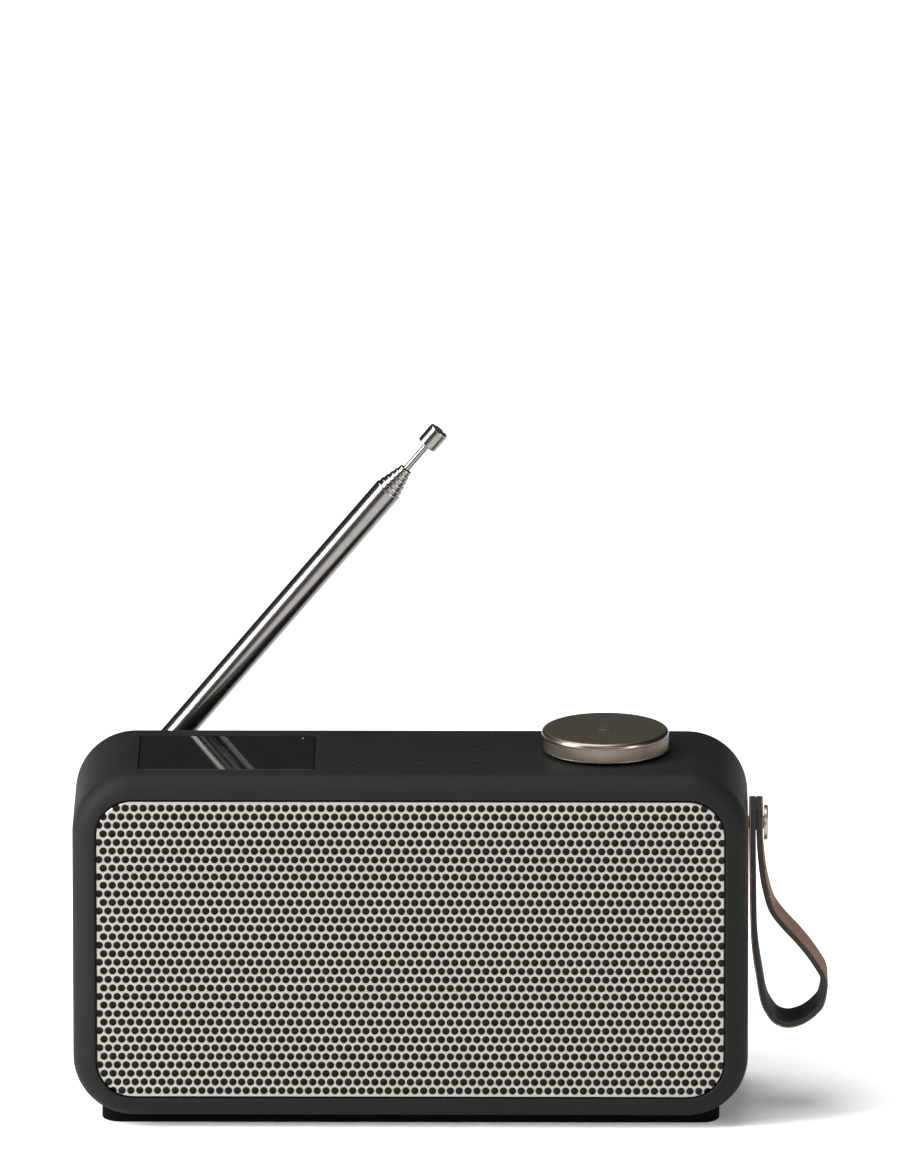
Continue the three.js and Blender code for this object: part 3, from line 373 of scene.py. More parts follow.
class Paint:
    """One material, built by expressions on the surface's own coordinates."""

    def __init__(self, name, **constants):
        """A new material, with what is the same all over it set on the shader's own sockets."""
        self.material = bpy.data.materials.new(name)
        self.material.use_nodes = True
        self.nodes = self.material.node_tree.nodes
        self.links = self.material.node_tree.links
        self.shader = self.nodes["Principled BSDF"]
        for key, value in constants.items():
            label = key.replace("_", " ").title().replace("Ior", "IOR")
            self.shader.inputs[label].default_value = value

    def add(self, kind, settings=None, inputs=None):
        """A node of any type, with its settings and the values or links of its sockets."""
        node = self.nodes.new(kind)
        for key, value in (settings or {}).items():
            setattr(node, key, value)
        for key, value in (inputs or {}).items():
            self.feed(node.inputs[key], value)
        return node

    def feed(self, socket, value):
        """A link or a plain value into a socket."""
        value = value.socket if isinstance(value, Field) else value
        if isinstance(value, bpy.types.NodeSocket):
            self.links.new(value, socket)
        else:
            socket.default_value = value

    def math(self, operation, *values):
        """One Math node on numbers or fields."""
        inputs = dict(enumerate(values))
        return Field(self, self.add("ShaderNodeMath", {"operation": operation}, inputs).outputs[0])

    def sine(self, value):
        """The sine of a field in radians."""
        return self.math("SINE", value)

    def place(self):
        """Object coordinates in millimetres, as a vector."""
        source = self.add("ShaderNodeTexCoord").outputs["Object"]
        scaled = {"operation": "SCALE"}
        return self.add("ShaderNodeVectorMath", scaled, {0: source, "Scale": 1 / MM}).outputs[0]

    def axes(self):
        """x, y and z in millimetres."""
        split = self.add("ShaderNodeSeparateXYZ", None, {0: self.place()})
        return [Field(self, socket) for socket in split.outputs]

    def stretched(self, stretch):
        """Object coordinates in millimetres, each multiplied by its own factor."""
        return self.add("ShaderNodeMapping", None, {0: self.place(), 3: stretch}).outputs[0]

    def noise(self, scale, detail=3.0, stretch=(1, 1, 1)):
        """Cloudy variation about 0.5, with scale features to a millimetre."""
        inputs = {"Vector": self.stretched(stretch), "Scale": scale, "Detail": detail}
        return Field(self, self.add("ShaderNodeTexNoise", None, inputs).outputs[0])

    def cells(self, scale, stretch=(1, 1, 1)):
        """Distance to the nearest of a scatter of points, with scale points to a millimetre."""
        inputs = {"Vector": self.stretched(stretch), "Scale": scale}
        return Field(self, self.add("ShaderNodeTexVoronoi", None, inputs).outputs[0])

    def steps(self, value, low, high, out_low=0.0, out_high=1.0):
        """A value spread smoothly from one range to another and held at its ends."""
        inputs = {0: value, 1: low, 2: high, 3: out_low, 4: out_high}
        settings = {"interpolation_type": "SMOOTHSTEP"}
        return Field(self, self.add("ShaderNodeMapRange", settings, inputs).outputs[0])

    def blend(self, factor, first, second):
        """Two colours mixed by a factor."""
        first, second = (
            tuple(c) + (1.0,) if isinstance(c, tuple) and len(c) == 3 else c for c in (first, second)
        )
        node = self.add("ShaderNodeMix", {"data_type": "RGBA"})
        for index, value in ((0, factor), (6, first), (7, second)):
            self.feed(node.inputs[index], value)
        return node.outputs[2]

    def bump(self, height, distance, strength=1.0):
        """A normal from a height in millimetres."""
        inputs = {"Height": height, "Distance": distance * MM, "Strength": strength}
        return self.add("ShaderNodeBump", None, inputs).outputs[0]

    def set(self, **fields):
        """Varying values into the shader."""
        for key, value in fields.items():
            self.feed(self.shader.inputs[key.replace("_", " ").title()], value)
        return self.material


def srgb(red, green, blue):
    """An 8-bit display colour as linear light."""
    values = np.array([red, green, blue]) / 255
    linear = np.where(values <= 0.04045, values / 12.92, ((values + 0.055) / 1.055) ** 2.4)
    return tuple(float(v) for v in linear)


def soft_touch(name="soft_touch", dark=(21, 21, 20), light=(25, 25, 24)):
    """Rubbery paint on a moulding: a fine even grain and a faint cloudiness in colour and gloss."""
    paint = Paint(name, roughness=0.6, specular_ior_level=0.08)
    cloud = paint.noise(0.05, 3)
    grain = paint.noise(6.0, 2) + 0.6 * paint.noise(2.2, 3)
    return paint.set(
        base_color=paint.blend(cloud, srgb(*dark), srgb(*light)),
        roughness=0.52 + 0.14 * cloud + 0.03 * grain,
        normal=paint.bump(grain, 0.012),
    )


def black_rubber():
    """Matt black rubber with a dusty bloom."""
    paint = Paint("foot_rubber", roughness=0.85, specular_ior_level=0.05)
    grain = paint.noise(3.0, 4)
    bloom = paint.noise(0.08, 3)
    return paint.set(
        base_color=paint.blend(bloom, srgb(2, 2, 2), srgb(6, 6, 6)),
        roughness=0.78 + 0.15 * grain,
        normal=paint.bump(grain, 0.03),
    )


def grille_metal():
    """Champagne-coloured sheet with a bead-blasted satin finish."""
    paint = Paint("grille_metal", metallic=0.72, roughness=0.34)
    grain = paint.noise(9.0, 3)
    cloud = paint.noise(0.09, 3)
    return paint.set(
        base_color=paint.blend(cloud, srgb(148, 144, 138), srgb(158, 154, 148)),
        roughness=0.28 + 0.12 * grain + 0.05 * cloud,
        normal=paint.bump(grain, 0.008),
    )


def woven_cloth():
    """Plain weave of dark brown yarn: warp and weft go over each other in turn."""
    paint = Paint("acoustic_cloth", roughness=0.95, specular_ior_level=0.15)
    x, _, z = paint.axes()
    yarn = 0.55
    turns = 2 * math.pi / yarn
    warp, weft = paint.sine(x * turns), paint.sine(z * turns)
    weave = warp * weft
    fuzz = paint.noise(5.0, 3)
    shade_of = 0.5 + 0.35 * weave + 0.3 * (fuzz - 0.5)
    return paint.set(
        base_color=paint.blend(shade_of, srgb(28, 25, 22), srgb(58, 53, 47)),
        normal=paint.bump(weave + fuzz, 0.06),
    )


def display_gloss():
    """Black glass-like window with the faintest smears in its gloss."""
    paint = Paint("display_gloss", roughness=0.05, specular_ior_level=0.45)
    smear = paint.noise(0.07, 4, (1, 3, 1))
    return paint.set(
        base_color=paint.blend(smear, srgb(9, 9, 10), srgb(14, 14, 15)),
        roughness=0.03 + 0.05 * smear,
    )


def glowing_dot():
    """The lit end of a light pipe."""
    paint = Paint("light_white", roughness=0.3, emission_strength=0.05)
    x, y, _ = paint.axes()
    spot = middle("status_light")
    away = ((x - float(spot[0])) ** 2 + (y - float(spot[1])) ** 2) ** 0.5
    glow = paint.steps(away, 0.12, 0.34, 1.0, 0.0)
    return paint.set(
        base_color=paint.blend(glow, srgb(14, 14, 15), srgb(190, 190, 188)),
        emission_color=paint.blend(glow, (0.0, 0.0, 0.0), (1.0, 1.0, 0.98)),
    )


def knob_metal():
    """Anodised aluminium: concentric turning marks on the top, fine grain on the side."""
    paint = Paint("knob_bronze", metallic=1.0, roughness=0.3)
    x, y, z = paint.axes()
    centre = middle("volume_knob")
    high = corners("volume_knob")[1][2]
    radius = ((x - float(centre[0])) ** 2 + (y - float(centre[1])) ** 2) ** 0.5
    marks = paint.sine(radius * 14.0 + 6.0 * paint.noise(0.3, 2))
    top = paint.steps(z, float(high) - 0.4, float(high) - 0.02)
    grain = paint.noise(5.0, 3)
    return paint.set(
        base_color=paint.blend(top, srgb(113, 105, 96), srgb(142, 131, 118)),
        roughness=0.25 + 0.1 * grain + 0.06 * top,
        normal=paint.bump(marks * top + 0.6 * grain, 0.006),
    )


def polished(name, colour, rough=0.08):
    """Plated metal with faint hairlines and a little variation in gloss."""
    paint = Paint(name, metallic=1.0, roughness=rough)
    hair = paint.noise(2.0, 3, (1, 6, 1))
    cloud = paint.noise(0.15, 2)
    return paint.set(
        base_color=paint.blend(cloud, srgb(*colour), srgb(*[min(255, c + 8) for c in colour])),
        roughness=rough * (0.7 + 0.9 * hair),
        normal=paint.bump(hair, 0.002),
    )


def strap_brown():
    """The strap's outer layer: fine pebbled brown with scattered dark and pale flecks."""
    paint = Paint("strap_brown", roughness=0.7, specular_ior_level=0.3)
    cloud = paint.noise(0.35, 4)
    pebble = paint.cells(2.6)
    dark_fleck = 1 - paint.steps(paint.cells(0.55), 0.12, 0.24)
    pale_fleck = 1 - paint.steps(paint.cells(0.5, stretch=(1.1, 1.3, 0.9)), 0.08, 0.18)
    brown = paint.blend(cloud, srgb(86, 64, 51), srgb(118, 89, 72))
    flecked = paint.blend(dark_fleck * 0.85, brown, srgb(48, 38, 34))
    return paint.set(
        base_color=paint.blend(pale_fleck * 0.5, flecked, srgb(196, 176, 162)),
        roughness=0.62 + 0.2 * pebble,
        normal=paint.bump(pebble + 0.5 * cloud, 0.07),
    )


def strap_black():
    """The strap's inner layer: black grained backing with a close grain."""
    paint = Paint("strap_black", roughness=0.75, specular_ior_level=0.28)
    pebble = paint.cells(3.2)
    cloud = paint.noise(0.4, 3)
    return paint.set(
        base_color=paint.blend(cloud, srgb(26, 26, 25), srgb(44, 44, 43)),
        roughness=0.68 + 0.2 * pebble,
        normal=paint.bump(pebble, 0.05),
    )


def moulded(name, first, second, rough=0.5, grain_scale=4.0, metal=0.0):
    """Moulded, painted or plated parts inside: two close shades with a fine grain."""
    paint = Paint(name, roughness=rough, metallic=metal)
    cloud = paint.noise(0.2, 3)
    grain = paint.noise(grain_scale, 3)
    return paint.set(
        base_color=paint.blend(cloud, srgb(*first), srgb(*second)),
        roughness=rough * (0.85 + 0.3 * grain),
        normal=paint.bump(grain, 0.01),
    )


def circuit_board():
    """Green solder resist with the tracks standing up under it and rows of pale pads."""
    paint = Paint("board_green", roughness=0.4)
    x, y, z = paint.axes()
    across, along = x * 2.1, (y + z) * 2.1
    tracks = paint.steps(abs(paint.sine(along + 3.0 * paint.noise(0.06, 1))), 0.75, 0.85)
    pads = (paint.sine(across) > 0.86) * (paint.sine(along) > 0.86)
    green = paint.blend(tracks, srgb(14, 62, 38), srgb(24, 92, 56))
    return paint.set(
        base_color=paint.blend(pads, green, srgb(205, 190, 150)),
        normal=paint.bump(tracks, 0.03),
    )


SOFT = soft_touch()
KEYS = soft_touch("key_soft_touch", (20, 20, 19), (24, 24, 23))
RUBBER = black_rubber()
GRILLE = grille_metal()
CLOTH = woven_cloth()
GLOSS = display_gloss()
DOT = glowing_dot()
BRONZE = knob_metal()
CHROME = polished("chrome", (124, 121, 117), 0.18)
STUD = polished("stud_steel", (150, 142, 134), 0.3)
STEEL = polished("steel", (176, 176, 178), 0.25)
BRASS = polished("brass", (190, 150, 80), 0.25)
BROWN = strap_brown()
BLACK = strap_black()
PLASTIC = moulded("black_plastic", (20, 20, 20), (28, 28, 28), 0.5)
PAPER = moulded("cone_paper", (26, 26, 27), (40, 40, 42), 0.85, 2.0)
FERRITE = moulded("ferrite", (52, 52, 54), (66, 66, 68), 0.6, 3.0)
BOARD = circuit_board()
DOMES = moulded("dome_sheet", (190, 184, 170), (208, 202, 190), 0.45)
WRAP = moulded("battery_wrap", (34, 66, 118), (42, 80, 138), 0.35)

SLOT_FINISH = {
    "black_plastic": PLASTIC, "cone_paper": PAPER, "ferrite": FERRITE, "board_green": BOARD,
    "dome_sheet": DOMES, "battery_wrap": WRAP, "steel": STEEL, "brass": BRASS, "chrome": CHROME,
    "foot_rubber": RUBBER, "soft_touch": SOFT, "acoustic_cloth": CLOTH, "display_gloss": GLOSS,
    "light_white": DOT, "knob_bronze": BRONZE, "strap_leather": BROWN, "grille_metal": GRILLE,
}
for part in frame["record"]["subparts"]:
    node = frame["nodes"][part["node"]]
    node.data.materials.clear()
    node.data.materials.append(SLOT_FINISH[part["material_slot"]])

# -------- cabinet shell and rear cover


def edge_rows(radius, y_side, sign, start, end, steps):
    """Rows of the rounded edge: inset = r (1 - cos t), y = side's end + sign r sin t."""
    t = np.radians(np.linspace(start, end, steps + 1))
    return np.stack([radius * (1 - np.cos(t)), y_side + sign * radius * np.sin(t)], 1)


def with_corner(rows, corner, slope=1.0):
    """Adds each row's corner radius, which shrinks with the inset."""
    return [(inset, y, corner - slope * inset) for inset, y in rows]


def flared(outline, low, high, edge=0.2, steps=4):
    """A cutter whose mouth at the height high is rounded outwards, so it leaves an eased edge."""
    mouth = arc((edge, high - edge), edge, 180, 90, steps)
    rows = [(0.0, low)] + [(-inset, height) for inset, height in mouth] + [(-edge, high + 2)]
    return skin(np.stack([at_height(drawn_in(outline, i), h) for i, h in rows]))


def cabinet():
    """The shell is one closed section carried round the cabinet's outline: outside, front edge, wall
    of the grille's opening and inside. The display's pocket, the key holes and the knob's hole are
    cut through the top with eased edges, and the insert's hole through the side."""
    back_turn = math.degrees(math.asin((SHELL_BACK - (BACK - BACK_R)) / BACK_R))
    margin = SIDE - corners("grille")[1][0] - SLOT
    front_turn = math.degrees(math.acos(1 - (margin - LIP_R) / FRONT_R))
    behind = edge_rows(BACK_R, BACK - BACK_R, 1, back_turn, 0, 6)
    ahead = edge_rows(FRONT_R, FRONT + FRONT_R, -1, 0, front_turn, 18)
    lip = arc((margin - LIP_R, ahead[-1][1] + LIP_R), LIP_R, 270, 360, 6)[1:]
    slope = (CORNER_R - GRILLE_R) / margin
    profile = with_corner(behind, CORNER_R)
    profile += with_corner(np.concatenate([ahead, lip]), CORNER_R, slope)
    ledge = FRONT + FRONT_WALL
    inner_r = BACK_R - WALL
    inner_turn = math.degrees(math.asin((SHELL_BACK - (BACK - BACK_R)) / inner_r))
    profile += [(margin, ledge, GRILLE_R), (WALL, ledge, CORNER_R - WALL)]
    inside = edge_rows(inner_r, BACK - BACK_R, 1, 0, inner_turn, 4)
    profile += [(WALL + i, y, CORNER_R - WALL - i) for i, y in inside]
    shell = placed("cabinet", skin(carried(profile, HALF, 20), ring=True), TO_BACK, (0, 0, MID_Z))

    low, _, mid, half = spans("display_lens")
    pocket = flared(rounded(half[0] + GAP, half[1] + GAP, 1.5, 6), low[2] - GAP - TOP, 0, 0.15)
    cutters = [moved(pocket, UP, (mid[0], mid[1], TOP))]
    for i in range(1, 7):
        centre = middle(f"key_{i}")
        hole = flared(circle(KEY_R + KEY_GAP, 64), -WALL - 1, 0, KEY_EDGE)
        cutters.append(moved(hole, UP, (centre[0], centre[1], TOP)))
    spot = middle("volume_knob")
    knob_hole = flared(circle(KNOB_HOLE_R, 40), -WALL - 1, 0, 0.2)
    cutters.append(moved(knob_hole, UP, (spot[0], spot[1], TOP)))
    insert = middle("strap_insert")
    side_hole = flared(circle(INSERT_HOLE_R, 40), -WALL - 1, 0, 0.2)
    cutters.append(moved(side_hole, TO_RIGHT, (SIDE, insert[1], insert[2])))
    cut(shell, cutters)
    finish(shell, SOFT, "cabinet", ["cabinet_shell"])


def back_cover():
    """A shallow dish: the rounded back edge carried round the outline, closed by the flat back, with
    the same inside. Screw seats, socket holes and the aerial's hole are cut through it."""
    start = math.degrees(math.asin((COVER_FRONT - (BACK - BACK_R)) / BACK_R))
    inner_r = BACK_R - WALL
    inner_start = math.degrees(math.asin((COVER_FRONT - (BACK - BACK_R)) / inner_r))
    outer = edge_rows(BACK_R, BACK - BACK_R, 1, 90, start, 16)
    inner = edge_rows(inner_r, BACK - BACK_R, 1, inner_start, 90, 10)
    profile = with_corner(outer, CORNER_R) + [(WALL + i, y, CORNER_R - WALL - i) for i, y in inner]
    cover = placed("back_cover", skin(carried(profile, HALF, 20)), TO_BACK, (0, 0, MID_Z))

    deep = -WALL - 1
    holes = []
    for i in range(1, 5):
        spot = middle(f"rear_screw_{i}")
        holes.append((flared(circle(SCREW_HOLE_R, 24), deep, 0, 0.1), spot))
        holes.append((flared(circle(SEAT_R, 40), -SEAT_DEPTH, 0, 0.25), spot))
    holes.append((flared(circle(SOCKET_HOLE_R, 40), deep, 0, 0.2), middle("antenna_base")))
    holes.append((flared(circle(SOCKET_HOLE_R, 40), deep, 0, 0.3), middle("aux_jack")))
    _, _, mid, half = spans("usb_socket")
    holes.append((flared(rounded(half[0] + GAP, half[2] + GAP, 1.8, 6), deep, 0, 0.3), mid))
    cut(cover, [moved(hole, TO_BACK, (spot[0], BACK, spot[2])) for hole, spot in holes])
    finish(cover, SOFT, "cabinet", ["rear_cover"])


def foot():
    """A block with a softened lower edge. Its top rises to meet the cabinet's rounded underside:
    z = bottom + the drop of the corner and of the back edge at that place, less a hair."""
    _, _, mid, half = spans("foot_pad")
    outline = rounded(half[0], half[1], FOOT_CORNER, 10)
    edge = arc((FOOT_EDGE, FOOT_EDGE), FOOT_EDGE, 270, 180, 5)
    rows = [at_height(drawn_in(outline, i), h) for i, h in edge]
    for share in (1.0, 0.97, 0.9, 0.8, 0.6):
        ring = outline * share
        x, y = ring[:, 0], ring[:, 1] + mid[1]
        past_corner = np.clip(np.abs(x) - (SIDE - CORNER_R), 0, None)
        past_edge = np.clip(y - (BACK - BACK_R), 0, None)
        inset = BACK_R - np.sqrt(BACK_R**2 - past_edge**2)
        corner = CORNER_R - inset
        rise = inset + corner - np.sqrt(corner**2 - past_corner**2)
        rows.append(np.column_stack([ring, BOTTOM - FOOT_LIFT + rise]))
    pad = placed("foot", skin(np.stack(rows)), UP, (mid[0], mid[1], 0))
    finish(pad, RUBBER, "cabinet", ["foot_pad"])


# -------- grille and cloth


def hole_cells(centres, plain=False):
    """The sheet round each centre, as one brick of a running bond. A brick has six outline points, so
    it meets the bricks above and below at its corners and middles, and a twelve-sided punched hole. All
    bricks are one pattern repeated by adding the centres."""
    half = PITCH / 2
    brick = np.array([(1, 1), (0, 1), (-1, 1), (-1, -1), (0, -1), (1, -1)]) * half
    turn = np.radians(30 * np.arange(12) + 90)
    ring = HOLE_R * np.stack([np.cos(turn), np.sin(turn)], 1)
    layers = [(brick, 0.0), (brick, SHEET_T)]
    faces = [[0, 1, 2, 3, 4, 5], [11, 10, 9, 8, 7, 6]]
    if not plain:
        layers += [(ring, 0.0), (ring, SHEET_T)]
        left = [1, 2, 3, 4, 18, 17, 16, 15, 14, 13, 12]
        right = [4, 5, 0, 1, 12, 23, 22, 21, 20, 19, 18]
        behind = [[i + (6 if i < 6 else 12) for i in face][::-1] for face in (left, right)]
        wall = [[12 + i, 12 + (i + 1) % 12, 24 + (i + 1) % 12, 24 + i] for i in range(12)]
        faces = [left, right] + behind + wall
    pattern = np.concatenate([at_height(xy, h) for xy, h in layers])
    shift = at_height(centres, 0.0)
    points = (pattern[None] + shift[:, None]).reshape(-1, 3)
    starts = len(pattern) * np.arange(len(centres))
    return points, [tuple(s + np.array(face)) for s in starts for face in faces]


grille_low, _, _, grille_half = spans("grille")
GRILLE_HALF = (grille_half[0], grille_half[2])
PITCH = (GRILLE_HALF[0] - EDGE_CUT) / HOLE_COLUMNS
GRILLE_PLACE = Matrix(
    ((1, 0, 0, 0), (0, 0, 1, grille_low[1] * MM), (0, 1, 0, MID_Z * MM), (0, 0, 0, 1))
)


def perforated_grille():
    """Rows of bricks past the outline on every side, every second row moved half a pitch. The open rim
    is closed with a wall, and the outline with its chamfered front edge is cut from that plate."""
    rows = np.arange(-SPARE, HOLE_ROWS + SPARE)
    columns = np.arange(-HOLE_COLUMNS - SPARE + 1, HOLE_COLUMNS + SPARE)
    row, column = np.meshgrid(rows, columns, indexing="ij")
    x = (column + 0.5 * (row % 2)) * PITCH
    z = ((HOLE_ROWS - 1) / 2 - row) * PITCH
    corner = GRILLE_R - SLOT
    dx = np.abs(x) - (GRILLE_HALF[0] - corner)
    dz = np.abs(z) - (GRILLE_HALF[1] - corner)
    past = np.hypot(np.maximum(dx, 0), np.maximum(dz, 0)) - corner
    holed = (row >= 0) & (row < HOLE_ROWS) & (past < CORNER_HOLES)
    spots = np.stack([x, z], -1)
    plate = mesh_object("grille", [hole_cells(spots[holed]), hole_cells(spots[~holed], plain=True)])
    work = bmesh.new()
    work.from_mesh(plate.data)
    rim = [edge for edge in work.edges if edge.is_boundary]
    bmesh.ops.bridge_loops(work, edges=rim)
    bmesh.ops.recalc_face_normals(work, faces=work.faces)
    work.to_mesh(plate.data)
    work.free()
    outline = rounded(GRILLE_HALF[0], GRILLE_HALF[1], corner, 16)
    steps = [(1.0 + SHEET_EDGE, -1.0), (0.0, SHEET_EDGE), (0.0, SHEET_T + 1.0)]
    form = [at_height(drawn_in(outline, i), h) for i, h in steps]
    cut(plate, [skin(np.stack(form))], "INTERSECT", "MANIFOLD")
    plate.data.transform(GRILLE_PLACE)
    finish(plate, GRILLE, "cabinet", ["grille"], 30)


def speaker_cloth():
    """A thin sheet stretched flat behind the grille: rings of the outline drawn towards the middle, at
    the front and, a cloth's thickness behind, at the back."""
    low, high = corners("acoustic_cloth")
    half = (GRILLE_HALF[0] - SHEET_EDGE, GRILLE_HALF[1] - SHEET_EDGE)
    outline = rounded(half[0], half[1], GRILLE_R - SLOT - SHEET_EDGE, 8)
    shares = np.array([0.02, 0.2, 0.4, 0.6, 0.8, 0.95, 1.0])
    front_rows = [at_height(outline * s, 0.0) for s in shares]
    back_rows = [row + np.array([0, 0, high[1] - low[1]]) for row in front_rows[::-1]]
    sheet = skin(np.stack(front_rows + back_rows))
    cloth = placed("speaker_cloth", sheet, TO_BACK, (0, low[1], MID_Z))
    finish(cloth, CLOTH, "cabinet", ["acoustic_cloth"])


# -------- display, keys and knob


def display():
    """A plate with rounded corners and a fine bevel, and the light's small dome just above it."""
    low, high, mid, half = spans("display_lens")
    plate = slab(rounded(half[0], half[1], 1.2, 8), low[2], high[2], 0.18, 4)
    lens = placed("display_window", plate, UP, (mid[0], mid[1], 0))
    spot = middle("status_light")
    cut(lens, [moved(drill(0.62, 24, -5, 5), UP, (spot[0], spot[1], high[2]))])
    finish(lens, GLOSS, "cabinet", ["display_lens"])
    start, light_r = corners("status_light")[0][2], 0.55
    dome = [(0, start), (light_r, start)] + turned_rim(light_r, high[2] + 0.14, 0.12, 3)
    pipe = turned("light_pipe", dome + [(0, high[2] + 0.17)], 24, UP, (spot[0], spot[1], 0))
    finish(pipe, DOT, "cabinet", ["status_light"])


def ring_path(radius, start, end):
    """A stroke that follows a circle from one angle in degrees to another."""
    return arc((0, 0), radius, start, end, 24)


ICONS = {
    1: [ring_path(1.5, 120, 420), [(0, 0.5), (0, 2.1)]],
    2: [[(0.3, 1.4), (-1.4, 0), (0.3, -1.4)], [(1.7, 1.4), (0, 0), (1.7, -1.4)]],
    3: [[(-0.3, 1.4), (1.4, 0), (-0.3, -1.4)], [(-1.7, 1.4), (0, 0), (-1.7, -1.4)]],
    4: [[(-1.6, 0), (1.6, 0)]],
    5: [[(-1.6, 0), (1.6, 0)], [(0, -1.6), (0, 1.6)]],
    6: [ring_path(1.6, 0, 350)],
}


def keys():
    """Round caps flush with the top, each with a stop flange below and a raised sign made of round
    bars half sunk in its face."""
    for number, strokes in ICONS.items():
        node = f"key_{number}"
        low, _, mid, half = spans(node)
        stop, under = half[0], TOP - WALL - GAP
        stem = stop - KEY_STEP
        profile = [(0, low[2]), (stem, low[2]), (stem, under - 1), (stop, under - 1), (stop, under)]
        profile += [(KEY_R, under)] + turned_rim(KEY_R, TOP, KEY_EDGE, 3) + [(0, TOP)]
        surfaces = [moved(lathe(profile, 64), UP, (mid[0], mid[1], 0))]
        for stroke in strokes:
            points = np.asarray(stroke, float)
            path = points if len(points) > 3 else even_stroke(points)
            surfaces.append(moved(bar_along(path, ICON_R, 10), UP, (mid[0], mid[1], TOP)))
        key = mesh_object(node + "_cap", surfaces)
        finish(key, KEYS, node + "_body", [node], 40)


def even_stroke(points):
    """A straight or bent stroke with even points along it, its bends kept sharp."""
    length = np.concatenate([[0], np.cumsum(np.linalg.norm(np.diff(points, axis=0), axis=1))])
    even = np.linspace(0, length[-1], 9)
    return np.stack([np.interp(even, length, points[:, k]) for k in range(2)], 1)


def knob():
    """A cap turned about its axis: flat underside rim, straight side, rounded edge, a fine groove and a
    flat top. The side is knurled: r = R - depth (1 - cos(n u)) / 2 between its plain ends."""
    low, high, mid, half = spans("volume_knob")
    radius, base, top = half[0], low[2], high[2]
    inside, side_top, ring_z = radius - KNOB_WALL, top - KNOB_EDGE, top - RING_DEPTH
    profile = [(0, top - KNOB_WALL), (inside, top - KNOB_WALL), (inside, base), (radius - 0.3, base)]
    profile += [(radius, base + 0.3), (radius, base + 0.5), (radius, base + 0.7)]
    profile += [(radius, side_top - 0.5), (radius, side_top - 0.3)]
    profile += turned_rim(radius, top, KNOB_EDGE, 10)
    profile += [(RING_OUT, top), (RING_OUT - 0.15, ring_z), (RING_IN + 0.15, ring_z), (RING_IN, top)]
    profile = np.array(profile + [(0, top)])
    sides = KNURL_COUNT * 4
    turn = 2 * np.pi * np.arange(sides) / sides
    cut_in = KNURL_DEPTH * (1 - np.cos(KNURL_COUNT * turn)) / 2
    on_side = (profile[:, 0] > radius - 0.01) & (profile[:, 1] > base + 0.6)
    knurled = on_side & (profile[:, 1] < side_top - 0.4)
    reach = profile[:, :1] - knurled[:, None] * cut_in
    height = np.repeat(profile[:, 1:], sides, 1)
    grid = np.stack([reach * np.cos(turn), reach * np.sin(turn), height], -1)
    cap = placed("knob_cap", skin(grid, caps=(False, False)), UP, (mid[0], mid[1], 0))
    finish(cap, BRONZE, "knob", ["volume_knob"], 50)


# -------- strap and stud


def strap_layer(offset, thickness, width, corner):
    """A rounded section carried along the strap's line: point = line + normal (offset + d), y = w."""
    line = spline([(SIDE + out, TOP - down) for out, down in STRAP_LINE], 170)
    along = np.gradient(line, axis=0)
    along /= np.linalg.norm(along, axis=1, keepdims=True)
    across = np.stack([along[:, 1], -along[:, 0]], 1)
    section = rounded(thickness / 2, width / 2, corner, 3)
    shift = (offset + section[:, 0])[None, :, None] * across[:, None, :]
    xz = line[:, None, :] + shift
    y = np.repeat(section[None, :, 1:], len(line), 0)
    return skin(np.concatenate([xz[..., :1], y, xz[..., 1:]], -1))


def strap():
    """The black backing and the brown face, one on the other, and the black filling between the legs'
    ends, with the stud's hole through all three."""
    width = 2 * spans("strap")[3][1]
    hole = moved(drill(STUD_HOLE_R, 32, -1.0, 7.0), TO_RIGHT, (SIDE, 0, middle("strap_stud")[2]))
    layers = [("strap_backing", -FACE_T / 2, STRAP_T - FACE_T, 0.35, BLACK, ["strap"]),
              ("strap_face", (STRAP_T - FACE_T) / 2, FACE_T, 0.2, BROWN, [])]
    for name, offset, thickness, corner, material, stands_for in layers:
        layer = mesh_object(name, [strap_layer(offset, thickness, width, corner)])
        cut(layer, [hole])
        finish(layer, material, "strap_loop", stands_for, 40)
    ends = TOP - STRAP_LINE[0][1]
    legs = (SIDE + STRAP_LINE[0][0], SIDE + STRAP_LINE[-1][0])
    thick = (legs[1] - legs[0] - STRAP_T) / 2 + BOND_SINK
    outline = rounded(thick, width / 2 - BOND_SINK, 0.1, 3)
    strip = slab(outline, ends - BOND_LENGTH, ends - BOND_SINK, 0.1, 2)
    bond = placed("strap_bond", strip, UP, (sum(legs) / 2, 0, 0))
    cut(bond, [hole])
    finish(bond, BLACK, "strap_loop")


def stud():
    """A stem and a round head with a softened rim and a barely domed face, turned about X."""
    low, high, mid, half = spans("strap_stud")
    radius, under = half[2], high[0] - 1.4
    profile = [(0, low[0]), (1.7, low[0]), (2, low[0] + 0.3), (2, under), (radius - 0.1, under)]
    profile += [(radius, under + 0.1)] + turned_rim(radius, high[0] - 0.1, 0.45, 6)
    profile += [(radius * 0.6, high[0] - 0.04), (0, high[0])]
    head = turned("stud", profile, 64, TO_RIGHT, (0, 0, mid[2]))
    finish(head, STUD, "cabinet", ["strap_stud"])


# -------- aerial

